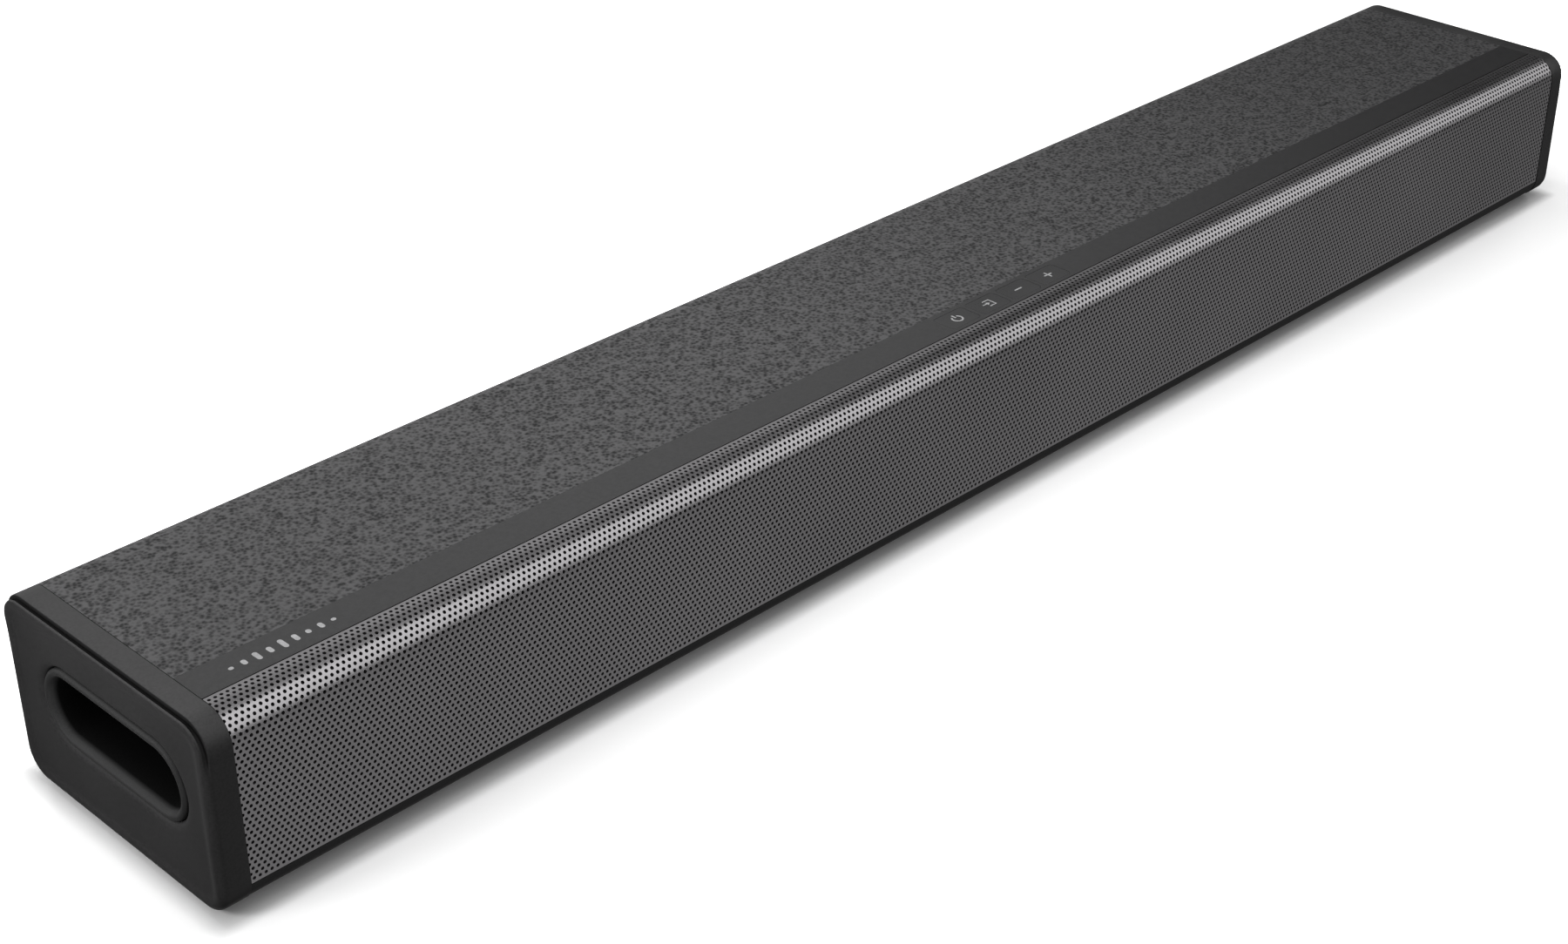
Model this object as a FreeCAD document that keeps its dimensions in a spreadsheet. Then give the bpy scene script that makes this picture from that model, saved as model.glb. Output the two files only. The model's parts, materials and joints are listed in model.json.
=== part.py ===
# Slim one-piece soundbar, 650 x 95 x 61 mm.
# X runs along the bar, the grille faces -Y, +Z is up. Z = 0 is the plane the rubber feet stand on.
import FreeCAD, Part
import Sketcher
import math
import os

V = FreeCAD.Vector
doc = FreeCAD.newDocument("Soundbar")
sheet = doc.addObject("Spreadsheet::Sheet", "Sizes")


class Q:
    """A size: its number, and the same thing as a document expression."""

    def __init__(self, v, e):
        self.v = v
        self.e = e

    def __add__(self, o):
        o = q(o)
        return Q(self.v + o.v, "(%s + %s)" % (self.e, o.e))

    def __radd__(self, o):
        return q(o) + self

    def __sub__(self, o):
        o = q(o)
        return Q(self.v - o.v, "(%s - %s)" % (self.e, o.e))

    def __rsub__(self, o):
        return q(o) - self

    def __mul__(self, o):
        o = q(o)
        return Q(self.v * o.v, "(%s * %s)" % (self.e, o.e))

    def __rmul__(self, o):
        return q(o) * self

    def __truediv__(self, o):
        o = q(o)
        return Q(self.v / o.v, "(%s / %s)" % (self.e, o.e))

    def __neg__(self):
        return Q(-self.v, "(-1 * %s)" % self.e)


def q(a):
    if isinstance(a, Q):
        return a
    return Q(float(a), "(%.6f)" % a)


def qsqrt(a):
    a = q(a)
    return Q(math.sqrt(a.v), "sqrt(%s)" % a.e)


row = [0]


def par(alias, value, note):
    row[0] += 1
    sheet.set("A%d" % row[0], note)
    sheet.set("B%d" % row[0], str(value))
    sheet.setAlias("B%d" % row[0], alias)
    return Q(float(value), "Sizes." + alias)


# ------------------------------------------------------------------ driving sizes
bar_len = par("bar_length", 650, "overall length")
bar_dep = par("bar_depth", 95, "overall depth")
bar_high = par("bar_height", 60, "height of the body without feet")
foot_high = par("foot_height", 1.0, "feet stand this far below the body")
corner = par("corner_radius", 9.0, "radius along the four long edges")
wall = par("wall_thickness", 2.5, "moulded wall")
cap_len = par("cap_length", 9.0, "length of each end cap")
cap_skin = par("cap_skin", 3.0, "end cap wall")
cap_round = par("cap_round", 2.4, "rounding round the outer face of a cap")
seam = par("seam_gap", 0.15, "gap between cap and shell")
grille_set = par("grille_inset", 0.3, "grille face behind the cap front")
grille_thick = par("grille_thickness", 0.8, "sheet thickness")
strip_front = par("strip_front", 35.4, "distance of the top seam in front of centre")
top_seam = par("top_seam", 0.4, "width of the seam between strip and grille")
base_top = par("base_top", 8.7, "top edge of the lower case at the front")
rear_low = par("rear_low", 16.0, "lower edge of the rear panel")
rear_top = par("rear_top", 46.0, "upper edge of the rear panel")
port_y = par("port_centre_back", -1.5, "port centre, depth direction")
port_z = par("port_centre_up", 34.0, "port centre height")
port_w = par("port_mouth_width", 67.0, "flare outline width")
port_t = par("port_mouth_height", 24.6, "flare outline height")
duct_w = par("duct_width", 59.5, "duct width inside")
duct_t = par("duct_height", 17.0, "duct height inside")
duct_wall = par("duct_wall", 2.0, "duct wall")
duct_end = par("duct_inner_end", 234.0, "distance of the inner duct end from the middle")
flare = par("flare_radius", 3.55, "rounding of the port mouth")
port_gap = par("port_gap", 0.25, "shadow gap round the port mouth")
key_w = par("key_width", 13.4, "key cap width")
key_d = par("key_depth", 9.0, "key cap depth")
key_y = par("key_centre", 29.0, "keys in front of centre")
key_gap = par("key_gap", 0.18, "hairline gap round each key")
key_pitch = par("key_pitch", 15.2, "key spacing")
key_shift = par("key_shift", -1.5, "middle of the key row from the middle of the bar")
baf_front = par("baffle_front", 41.5, "front plane of the baffle plate")
baf_thick = par("baffle_thickness", 3.0, "baffle plate")
drv_z = par("driver_height", 31.0, "height of the driver axes")
full_x = par("full_range_offset", 195.0, "full-range driver from the middle")
mount_x = par("wall_mount_offset", 215.0, "wall mount insert from the middle")
mount_r = par("wall_mount_hole", 2.0, "radius of the insert's hole")
tray_w = par("tray_width", 160.0, "connector recess width")
tray_t = par("tray_height", 24.0, "connector recess height")
jack_r = par("jack_hole", 1.8, "radius of the audio jack hole")

half = bar_len / 2
core = half - cap_len
hd = bar_dep / 2
z0 = foot_high
z1 = foot_high + bar_high
doc.recompute()

nodes = []


def keep(obj, label):
    obj.Label = label
    nodes.append(obj)
    return obj


def setq(obj, prop, value):
    value = q(value)
    setattr(obj, prop, value.v)
    if "Sizes." in value.e:
        obj.setExpression(prop, value.e)


def place(obj, x, y, z, rot=None):
    x, y, z = q(x), q(y), q(z)
    obj.Placement = FreeCAD.Placement(V(x.v, y.v, z.v), rot or FreeCAD.Rotation())
    for name, c in (("x", x), ("y", y), ("z", z)):
        if "Sizes." in c.e:
            obj.setExpression("Placement.Base." + name, c.e)


def box(name, x, y, z, lx, ly, lz):
    """A block from its low corner and its three sides."""
    o = doc.addObject("Part::Box", name)
    setq(o, "Length", lx)
    setq(o, "Width", ly)
    setq(o, "Height", lz)
    place(o, x, y, z)
    return o


ROT = {
    "z": FreeCAD.Rotation(),
    "y": FreeCAD.Rotation(V(1, 0, 0), -90),
    "x": FreeCAD.Rotation(V(0, 1, 0), 90),
}


def cyl(name, x, y, z, r, length, axis="z"):
    o = doc.addObject("Part::Cylinder", name)
    setq(o, "Radius", r)
    setq(o, "Height", length)
    place(o, x, y, z, ROT[axis])
    return o


def fuse(name, parts):
    o = doc.addObject("Part::MultiFuse", name)
    o.Shapes = parts
    return o


def cut(name, base, tools):
    o = doc.addObject("Part::Cut", name)
    o.Base = base
    o.Tool = tools[0] if len(tools) == 1 else fuse(name + "_tools", tools)
    return o


def group(name, parts):
    o = doc.addObject("Part::Compound", name)
    o.Links = parts
    return o


def rounded(name, base, radius, pick):
    """Fillet the edges of a block that pick() chooses."""
    doc.recompute()
    o = doc.addObject("Part::Fillet", name)
    o.Base = base
    o.Edges = [(i + 1, radius, radius) for i, e in enumerate(base.Shape.Edges) if pick(e)]
    return o


def upright(e):
    a, b = e.Vertexes[0].Point, e.Vertexes[-1].Point
    return abs(a.x - b.x) < 1e-6 and abs(a.y - b.y) < 1e-6 and abs(a.z - b.z) > 1e-6


def alongy(e):
    a, b = e.Vertexes[0].Point, e.Vertexes[-1].Point
    return abs(a.x - b.x) < 1e-6 and abs(a.z - b.z) < 1e-6 and abs(a.y - b.y) > 1e-6


# ------------------------------------------------------------------ sketch helpers
def plane(body, role):
    for f in body.Origin.OriginFeatures:
        if f.Role == role:
            return f
    raise RuntimeError(role)


def sketch(body, name, role, offset=0):
    sk = body.newObject("Sketcher::SketchObject", name)
    sk.AttachmentSupport = [(plane(body, role), "")]
    sk.MapMode = "FlatFace"
    o = q(offset)
    sk.AttachmentOffset = FreeCAD.Placement(V(0, 0, o.v), FreeCAD.Rotation())
    if "Sizes." in o.e:
        sk.setExpression("AttachmentOffset.Base.z", o.e)
    return sk


def dim(sk, kind, args, value):
    value = q(value)
    i = sk.addConstraint(Sketcher.Constraint(kind, *(list(args) + [value.v])))
    if "Sizes." in value.e:
        sk.setExpression("Constraints[%d]" % i, value.e)


def fix(sk, geo, pos, x, y):
    dim(sk, "DistanceX", (-1, 1, geo, pos), x)
    dim(sk, "DistanceY", (-1, 1, geo, pos), y)


def circle(sk, x, y, r):
    x, y, r = q(x), q(y), q(r)
    g = sk.addGeometry(Part.Circle(V(x.v, y.v, 0), V(0, 0, 1), r.v), False)
    fix(sk, g, 3, x, y)
    dim(sk, "Radius", (g,), r)


def outline(sk, pts, arcs=None):
    """Closed outline. arcs maps the edge index to (centre x, centre y, anticlockwise)."""
    arcs = arcs or {}
    pts = [(q(a), q(b)) for a, b in pts]
    n = len(pts)
    first = None
    ends = []
    for i in range(n):
        a, b = pts[i], pts[(i + 1) % n]
        pa, pb = V(a[0].v, a[1].v, 0), V(b[0].v, b[1].v, 0)
        if i in arcs:
            cx, cy, ccw = q(arcs[i][0]), q(arcs[i][1]), arcs[i][2]
            c = V(cx.v, cy.v, 0)
            ta = math.atan2(pa.y - c.y, pa.x - c.x)
            tb = math.atan2(pb.y - c.y, pb.x - c.x)
            r = pa.distanceToPoint(c)
            if ccw:
                if tb < ta:
                    tb += 2 * math.pi
                g = sk.addGeometry(Part.ArcOfCircle(Part.Circle(c, V(0, 0, 1), r), ta, tb), False)
                s, e = 1, 2
            else:
                if ta < tb:
                    ta += 2 * math.pi
                g = sk.addGeometry(Part.ArcOfCircle(Part.Circle(c, V(0, 0, 1), r), tb, ta), False)
                s, e = 2, 1
            # one coordinate of the centre settles an arc whose two ends are fixed
            if abs(pa.x - pb.x) >= abs(pa.y - pb.y):
                dim(sk, "DistanceY", (-1, 1, g, 3), cy)
            else:
                dim(sk, "DistanceX", (-1, 1, g, 3), cx)
        else:
            g = sk.addGeometry(Part.LineSegment(pa, pb), False)
            s, e = 1, 2
        ends.append((g, s, e))
    for i in range(n):
        g, s, e = ends[i]
        h, hs, he = ends[(i + 1) % n]
        sk.addConstraint(Sketcher.Constraint("Coincident", g, e, h, hs))
    for i in range(n):
        g, s, e = ends[i]
        fix(sk, g, s, pts[i][0], pts[i][1])


def rect(sk, x, y, lx, ly):
    """Rectangle from its low corner."""
    x, y, lx, ly = q(x), q(y), q(lx), q(ly)
    outline(sk, [(x, y), (x + lx, y), (x + lx, y + ly), (x, y + ly)])


def rrect(sk, cx, cy, w, h, r):
    cx, cy, w, h, r = q(cx), q(cy), q(w), q(h), q(r)
    x0, x1 = cx - w / 2, cx + w / 2
    y0, y1 = cy - h / 2, cy + h / 2
    outline(
        sk,
        [(x0 + r, y0), (x1 - r, y0), (x1, y0 + r), (x1, y1 - r), (x1 - r, y1), (x0 + r, y1), (x0, y1 - r), (x0, y0 + r)],
        {1: (x1 - r, y0 + r, True), 3: (x1 - r, y1 - r, True), 5: (x0 + r, y1 - r, True), 7: (x0 + r, y0 + r, True)},
    )


def stadium(sk, cx, cy, w, h):
    """Slot outline, w across and h high, round ends left and right."""
    cx, cy, w, h = q(cx), q(cy), q(w), q(h)
    if w.v - h.v < 1e-6:
        circle(sk, cx, cy, h / 2)
        return
    r = h / 2
    s = w / 2 - r
    l0 = sk.addGeometry(Part.LineSegment(V(cx.v - s.v, cy.v - r.v, 0), V(cx.v + s.v, cy.v - r.v, 0)), False)
    a0 = sk.addGeometry(Part.ArcOfCircle(Part.Circle(V(cx.v + s.v, cy.v, 0), V(0, 0, 1), r.v), -math.pi / 2, math.pi / 2), False)
    l1 = sk.addGeometry(Part.LineSegment(V(cx.v + s.v, cy.v + r.v, 0), V(cx.v - s.v, cy.v + r.v, 0)), False)
    a1 = sk.addGeometry(Part.ArcOfCircle(Part.Circle(V(cx.v - s.v, cy.v, 0), V(0, 0, 1), r.v), math.pi / 2, 3 * math.pi / 2), False)
    for g, p, k, m in ((l0, 2, a0, 1), (a0, 2, l1, 1), (l1, 2, a1, 1), (a1, 2, l0, 1)):
        sk.addConstraint(Sketcher.Constraint("Tangent", g, p, k, m))
    dim(sk, "Radius", (a0,), r)
    fix(sk, a0, 3, cx + s, cy)
    fix(sk, a1, 3, cx - s, cy)


def pad(body, name, sk, length, sym=False, rev=False):
    f = body.newObject("PartDesign::Pad", name)
    f.Profile = sk
    setq(f, "Length", length)
    f.Midplane = sym
    f.Reversed = rev
    doc.recompute()
    return f


def pocket(body, name, sk, length, rev=False):
    """Cut, and stop if nothing came off."""
    before = body.Shape.Volume
    f = body.newObject("PartDesign::Pocket", name)
    f.Profile = sk
    setq(f, "Length", length)
    f.Reversed = rev
    doc.recompute()
    if body.Shape.Volume > before - 1e-3:
        raise RuntimeError("pocket %s in %s took nothing" % (name, body.Name))
    return f


def fillet(body, name, radius, pick):
    base = body.Tip
    names = ["Edge%d" % (i + 1) for i, e in enumerate(base.Shape.Edges) if pick(e)]
    if not names:
        raise RuntimeError("no edges for " + name)
    f = body.newObject("PartDesign::Fillet", name)
    f.Base = (base, names)
    setq(f, "Radius", radius)
    doc.recompute()
    return f


def body(name):
    return doc.addObject("PartDesign::Body", name)


# ------------------------------------------------------------------ top cover
cy_top = z1 - corner          # height of the upper corner centres
cy_low = z0 + corner          # height of the lower corner centres
cx_rear = hd - corner
inr = corner - wall
fy = -(hd - grille_set)       # front plane of grille and lower case
cx_front = fy + corner

b = body("TopCover")
sk = sketch(b, "TopProfile", "YZ_Plane")
ye = -(strip_front - top_seam / 2)
outline(
    sk,
    [(ye, z1 - wall), (cx_rear, z1 - wall), (hd - wall, cy_top), (hd - wall, rear_top), (hd, rear_top), (hd, cy_top), (cx_rear, z1), (ye, z1)],
    {1: (cx_rear, cy_top, False), 5: (cx_rear, cy_top, True)},
)
pad(b, "TopShell", sk, (core - seam) * 2, sym=True)
key_xs = [key_shift + key_pitch * k for k in (-1.5, -0.5, 0.5, 1.5)]
for i, kx in enumerate(key_xs):
    sk = sketch(b, "KeyOpening%d" % i, "XY_Plane", z1 + 1)
    rrect(sk, kx, -key_y, key_w + key_gap * 2, key_d + key_gap * 2, q(1.5))
    pocket(b, "KeyCut%d" % i, sk, wall + 2)
boss_top = [(300, 38), (-300, 38), (100, 38), (-100, 38), (120, -26.8), (-120, -26.8)]
sk = sketch(b, "Bosses", "XY_Plane", z1 - wall)
for x, y in boss_top:
    circle(sk, x, y, 3.6)
pad(b, "BossPad", sk, 8.2, rev=True)
for i, (x, y) in enumerate(boss_top):
    sk = sketch(b, "Pilot%d" % i, "XY_Plane", 50.0)
    circle(sk, x, y, 1.5)
    pocket(b, "PilotHole%d" % i, sk, 7.0, rev=True)
sk = sketch(b, "KeyBoardPosts", "XY_Plane", z1 - wall)
for x in (-38.0, 35.0):
    circle(sk, x, -29, 2.4)
pad(b, "KeyBoardPostPad", sk, 4.2, rev=True)
for i, x in enumerate((-38.0, 35.0)):
    sk = sketch(b, "KeyPilot%d" % i, "XY_Plane", 54.0)
    circle(sk, x, -29, 0.9)
    pocket(b, "KeyPilotHole%d" % i, sk, 3.6, rev=True)
keep(b, "top_cover")

# ------------------------------------------------------------------ bottom case
b = body("BottomCase")
sk = sketch(b, "CaseProfile", "YZ_Plane")
dz = cy_low - base_top
yo = cx_front - qsqrt(corner * corner - dz * dz)
yi = cx_front - qsqrt(inr * inr - dz * dz)
outline(
    sk,
    [(yo, base_top), (cx_front, z0), (cx_rear, z0), (hd, cy_low), (hd, rear_low), (hd - wall, rear_low), (hd - wall, cy_low), (cx_rear, z0 + wall), (cx_front, z0 + wall), (yi, base_top)],
    {0: (cx_front, cy_low, True), 2: (cx_rear, cy_low, True), 6: (cx_rear, cy_low, False), 8: (cx_front, cy_low, False)},
)
pad(b, "CaseShell", sk, (core - seam) * 2, sym=True)
sk = sketch(b, "Posts", "XY_Plane", z0 + wall / 2)
for x, y in boss_top:
    circle(sk, x, y, 4.2)
pad(b, "PostPad", sk, 50.0 - 1.0 - 1.25)
for i, (x, y) in enumerate(boss_top):
    sk = sketch(b, "PostBore%d" % i, "XY_Plane", 0)
    circle(sk, x, y, 3.0)
    pocket(b, "PostBoreCut%d" % i, sk, 43.0, rev=True)
    sk = sketch(b, "PostHole%d" % i, "XY_Plane", 42.0)
    circle(sk, x, y, 1.7)
    pocket(b, "PostHoleCut%d" % i, sk, 9.0, rev=True)
main_studs = [(-78, 0), (78, 0), (-78, 26), (78, 26)]
psu_studs = [(117, 5), (207, 5), (117, 35), (207, 35)]
sk = sketch(b, "MainStuds", "XY_Plane", z0 + wall / 2)
for x, y in main_studs:
    circle(sk, x, y, 3.0)
pad(b, "MainStudPad", sk, 18.0 - 2.25)
sk = sketch(b, "PsuStuds", "XY_Plane", z0 + wall / 2)
for x, y in psu_studs:
    circle(sk, x, y, 3.0)
pad(b, "PsuStudPad", sk, 9.0 - 2.25)
for i, ((x, y), top) in enumerate([(p, 18.0) for p in main_studs] + [(p, 9.0) for p in psu_studs]):
    sk = sketch(b, "StudPilot%d" % i, "XY_Plane", top + 0.5)
    circle(sk, x, y, 1.2)
    pocket(b, "StudPilotCut%d" % i, sk, 5.5)
keep(b, "bottom_case")

# ------------------------------------------------------------------ rear panel
b = body("RearPanel")
sk = sketch(b, "RearProfile", "YZ_Plane")
outline(
    sk,
    [(hd, rear_low + 0.2), (hd, rear_top - 0.2), (hd - 2.65, rear_top - 0.2), (hd - 2.65, 49.0), (hd - 4.0, 49.0), (hd - 4.0, 13.0), (hd - 2.65, 13.0), (hd - 2.65, rear_low + 0.2)],
)
pad(b, "RearPlate", sk, (core - seam) * 2, sym=True)
sk = sketch(b, "RearHollow", "XZ_Plane", -(hd - 4.0) + 0.5)
rect(sk, -308, 19, 616, 24)
pocket(b, "RearHollowCut", sk, 2.0)
sk = sketch(b, "InsertBosses", "XZ_Plane", -(hd - 1.0))
for s in (1, -1):
    circle(sk, mount_x * s, 31, 4.6)
pad(b, "InsertBossPad", sk, 8.0)
for s in (1, -1):
    sk = sketch(b, "InsertHole%d" % (s + 1), "XZ_Plane", -(hd + 1.0))
    circle(sk, mount_x * s, 31, 3.0)
    pocket(b, "InsertHoleCut%d" % (s + 1), sk, 11.0, rev=True)
sk = sketch(b, "InletHole", "XZ_Plane", -(hd + 1.0))
rrect(sk, 150, 31, 24.4, 16.4, 3.2)
pocket(b, "InletHoleCut", sk, 8.0, rev=True)
bay = tray_w / 2 + 4.0        # half length of the connector bay between the two plates
keep(cut("RearPanelPair", b, [box("BayGap", -bay - 0.2, hd - 20.0, 5, bay * 2 + 0.4, 30, 50)]), "rear_panel")

# frame of the connector bay: two long bars and two short ones round a deep recess
tz0 = 31 - tray_t / 2
tz1 = 31 + tray_t / 2
bay_in = hd - 14.0            # back of the recess


def bay_bar(name, long_pts, x, length):
    o = body(name)
    k = sketch(o, name + "Profile", "YZ_Plane", x)
    outline(k, long_pts)
    pad(o, name + "Pad", k, length)
    return o


up_pts = [(hd, tz1), (hd, rear_top - 0.2), (hd - 2.65, rear_top - 0.2), (hd - 2.65, 49.0), (hd - 4.0, 49.0), (hd - 4.0, tz1 + 2.0), (bay_in + 0.05, tz1 + 2.0), (bay_in + 0.05, tz1)]
low_pts = [(hd, tz0), (bay_in + 0.05, tz0), (bay_in + 0.05, tz0 - 2.0), (hd - 4.0, tz0 - 2.0), (hd - 4.0, 13.0), (hd - 2.65, 13.0), (hd - 2.65, rear_low + 0.2), (hd, rear_low + 0.2)]
bars = [bay_bar("BayTop", up_pts, -bay, bay * 2), bay_bar("BayFoot", low_pts, -bay, bay * 2)]
for s in (1, -1):
    o = body("BayEnd%d" % (s + 1))
    k = sketch(o, "BayEndPlan%d" % (s + 1), "XY_Plane", tz0 + 0.05)
    w = tray_w / 2
    pts = [(w * s, hd), (w * s, bay_in + 0.05), ((w + 2.0) * s, bay_in + 0.05), ((w + 2.0) * s, hd - 4.0), (bay * s, hd - 4.0), (bay * s, hd)]
    outline(k, pts if s > 0 else pts[::-1])
    pad(o, "BayEndPad%d" % (s + 1), k, tray_t - 0.1)
    bars.append(o)
keep(group("BayFrame", bars), "jack_frame")

# plate at the back of the recess; the four signal sockets come through it
b = body("JackPlate")
sk = sketch(b, "JackPlateOutline", "XZ_Plane", -(hd - 16.0))
rrect(sk, 0, 31, tray_w + 4, tray_t + 4, 1.5)
pad(b, "JackPlatePad", sk, 2.0, rev=True)
SOCK = {"aux": (-58.0, 24.0), "optical": (-30.0, 24.9), "hdmi": (6.0, 23.3), "usb": (44.0, 23.1)}
sk = sketch(b, "SocketHoles", "XZ_Plane", -(hd - 17.5))
circle(sk, SOCK["aux"][0], SOCK["aux"][1], 3.2)
pocket(b, "AuxHoleCut", sk, 6.0)
sk = sketch(b, "OpticalHole", "XZ_Plane", -(hd - 17.5))
ow = 10.5
ot = 10.9
ox = SOCK["optical"][0]
rect(sk, ox - ow / 2, SOCK["optical"][1] - ot / 2, ow, ot)
pocket(b, "OpticalHoleCut", sk, 6.0)
for nm, w, t in (("hdmi", 15.5, 6.5), ("usb", 13.7, 6.3)):
    sk = sketch(b, nm.capitalize() + "Hole", "XZ_Plane", -(hd - 17.5))
    rrect(sk, SOCK[nm][0], SOCK[nm][1], w, t, 0.4)
    pocket(b, nm.capitalize() + "HoleCut", sk, 6.0)
# the plate is laid in straight-edged pieces beside, above and below the optical socket
slits = [box("PlateSlit%d" % i, x, 30, 5, 0.05, 5, 50) for i, x in enumerate((ox - ow / 2 - 0.05, ox + ow / 2))]
keep(cut("JackPlatePieces", b, slits), "jack_plate")

# ------------------------------------------------------------------ front baffle
b = body("FrontBaffle")
sk = sketch(b, "BaffleProfile", "YZ_Plane")
bf = -baf_front
bb = bf + baf_thick
ro = corner - grille_thick - 0.2
ri = ro - 2.0
zi = cy_top + qsqrt(ri * ri - (bf - cx_front) * (bf - cx_front))
outline(
    sk,
    [(bb, 3.95), (bb, 56.5), (-31.0, 56.5), (-31.0, 58.2), (-35.9, 58.2), (-35.9, cy_top + ro), (cx_front, cy_top + ro), (cx_front - ro, cy_top),
     (cx_front - ro, 49.2), (cx_front - ri, 49.2), (cx_front - ri, cy_top), (bf, zi), (bf, 11.5), (cx_front - ro, 11.5), (cx_front - ro, 9.4), (bf, 9.4), (bf, 5.2)],
    {6: (cx_front, cy_top, True), 10: (cx_front, cy_top, False)},
)
pad(b, "BaffleShell", sk, (core - 0.4) * 2, sym=True)
sk = sketch(b, "WooferHole", "XZ_Plane", baf_front + 0.5)
stadium(sk, 0, drv_z, 91, 43)
pocket(b, "WooferHoleCut", sk, 5.0)
for s in (1, -1):
    sk = sketch(b, "FullHole%d" % (s + 1), "XZ_Plane", baf_front + 0.5)
    circle(sk, full_x * s, drv_z, 20.5)
    pocket(b, "FullHoleCut%d" % (s + 1), sk, 5.0)
sk = sketch(b, "KeyNotch", "XY_Plane", 59.0)
rect(sk, -43, -38.4, 83, 8)
pocket(b, "KeyNotchCut", sk, 3.0)
fixings = [(dx, dzz) for dx in (-44.4, 44.4) for dzz in (-20.4, 20.4)]
fixings += [(s * 195.0 + dx, dzz) for s in (1, -1) for dx in (-19.4, 19.4) for dzz in (-19.4, 19.4)]
for i, (dx, dzz) in enumerate(fixings):
    sk = sketch(b, "FixingPilot%d" % i, "XZ_Plane", baf_front - 0.6)
    circle(sk, dx, drv_z + dzz, 1.0)
    pocket(b, "FixingPilotCut%d" % i, sk, 3.0)
keep(b, "front_baffle")

# ------------------------------------------------------------------ grille and cloth
b = body("Grille")
sk = sketch(b, "GrilleProfile", "YZ_Plane")
gt = -(strip_front + top_seam / 2)
rg = corner - grille_thick
outline(
    sk,
    [(gt, z1), (cx_front, z1), (fy, cy_top), (fy, base_top + 0.3), (fy + grille_thick, base_top + 0.3), (fy + grille_thick, cy_top), (cx_front, z1 - grille_thick), (gt, z1 - grille_thick)],
    {1: (cx_front, cy_top, True), 5: (cx_front, cy_top, False)},
)
pad(b, "GrilleSheet", sk, (core - seam) * 2, sym=True)
keep(b, "speaker_grille")
keep(box("Scrim", -(core - 3.0), fy + grille_thick + 0.05, 11.8, (core - 3.0) * 2, 0.3, 37.0), "grille_scrim")

# ------------------------------------------------------------------ end caps and ports
for s, cap_label, port_label in ((1, "end_cap_right", "port_tube_right"), (-1, "end_cap_left", "port_tube_left")):
    t, rev = ("R", False) if s > 0 else ("L", True)
    b = body("EndCap" + t)
    sk = sketch(b, "CapOutline" + t, "YZ_Plane", core * s)
    rrect(sk, 0, (z0 + z1) / 2, bar_dep, bar_high, corner)
    pad(b, "CapPad" + t, sk, cap_len, rev=rev)
    face_x = s * half.v
    fillet(b, "CapRound" + t, cap_round, lambda e: all(abs(p.Point.x - face_x) < 1e-4 for p in e.Vertexes))
    sk = sketch(b, "CapInside" + t, "YZ_Plane", (core - 1) * s)
    rrect(sk, 0, (z0 + z1) / 2, bar_dep - cap_skin * 2, bar_high - cap_skin * 2, corner - cap_skin)
    pocket(b, "CapHollow" + t, sk, cap_len - cap_skin + 1, rev=not rev)
    sk = sketch(b, "CapPort" + t, "YZ_Plane", (core + 2) * s)
    stadium(sk, port_y, port_z, port_w + port_gap * 2, port_t + port_gap * 2)
    pocket(b, "CapPortCut" + t, sk, cap_len, rev=not rev)
    keep(b, cap_label)

    b = body("Port" + t)
    back = half - cap_skin            # inner side of the cap's face wall
    sk = sketch(b, "PortRing" + t, "YZ_Plane", (back - 2.0) * s)
    stadium(sk, port_y, port_z, port_w, port_t)
    pad(b, "PortRingPad" + t, sk, cap_skin + 2.0 - 0.3, rev=rev)
    sk = sketch(b, "PortFlange" + t, "YZ_Plane", (back - 2.0) * s)
    stadium(sk, port_y, port_z, port_w + 6, port_t + 6)
    pad(b, "PortFlangePad" + t, sk, 1.95, rev=rev)
    sk = sketch(b, "PortDuct" + t, "YZ_Plane", duct_end * s)
    stadium(sk, port_y, port_z, duct_w + duct_wall * 2, duct_t + duct_wall * 2)
    pad(b, "PortDuctPad" + t, sk, back - duct_end - 1.0, rev=rev)
    sk = sketch(b, "PortBore" + t, "YZ_Plane", (duct_end - 1) * s)
    stadium(sk, port_y, port_z, duct_w, duct_t)
    pocket(b, "PortBoreCut" + t, sk, 100, rev=not rev)
    mouth_x = s * (half.v - 0.3)
    inner_x = s * duct_end.v

    def on_bore(e, x):
        if not all(abs(p.Point.x - x) < 1e-4 for p in e.Vertexes):
            return False
        bb = e.BoundBox
        return max(abs(bb.YMin - port_y.v), abs(bb.YMax - port_y.v)) < duct_w.v / 2 + 0.2 and max(abs(bb.ZMax - port_z.v), abs(bb.ZMin - port_z.v)) < duct_t.v / 2 + 0.2

    fillet(b, "PortFlare" + t, flare, lambda e: on_bore(e, mouth_x))
    fillet(b, "PortInner" + t, 1.4, lambda e: on_bore(e, inner_x))
    keep(b, port_label)

# ------------------------------------------------------------------ keys
top_key = z1
key_names = ["key_power", "key_source", "key_volume_down", "key_volume_up"]
for i, (kx, nm) in enumerate(zip(key_xs, key_names)):
    b = body("Key%d" % i)
    sk = sketch(b, "KeyCap%d" % i, "XY_Plane", z1 - wall - 0.15)
    rrect(sk, kx, -key_y, key_w, key_d, 1.3)
    pad(b, "KeyCapPad%d" % i, sk, wall + 0.15)
    # retaining rim under the cover
    sk = sketch(b, "KeyRim%d" % i, "XY_Plane", z1 - wall - 0.15)
    rrect(sk, kx, -key_y, key_w + 1.2, key_d + 1.6, 1.6)
    pad(b, "KeyRimPad%d" % i, sk, 0.9, rev=True)
    # stem that works the switch
    sk = sketch(b, "KeyStem%d" % i, "XY_Plane", z1 - wall - 1.0)
    circle(sk, kx, -key_y, 1.2)
    pad(b, "KeyStemPad%d" % i, sk, 2.4, rev=True)
    keep(b, nm)

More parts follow.
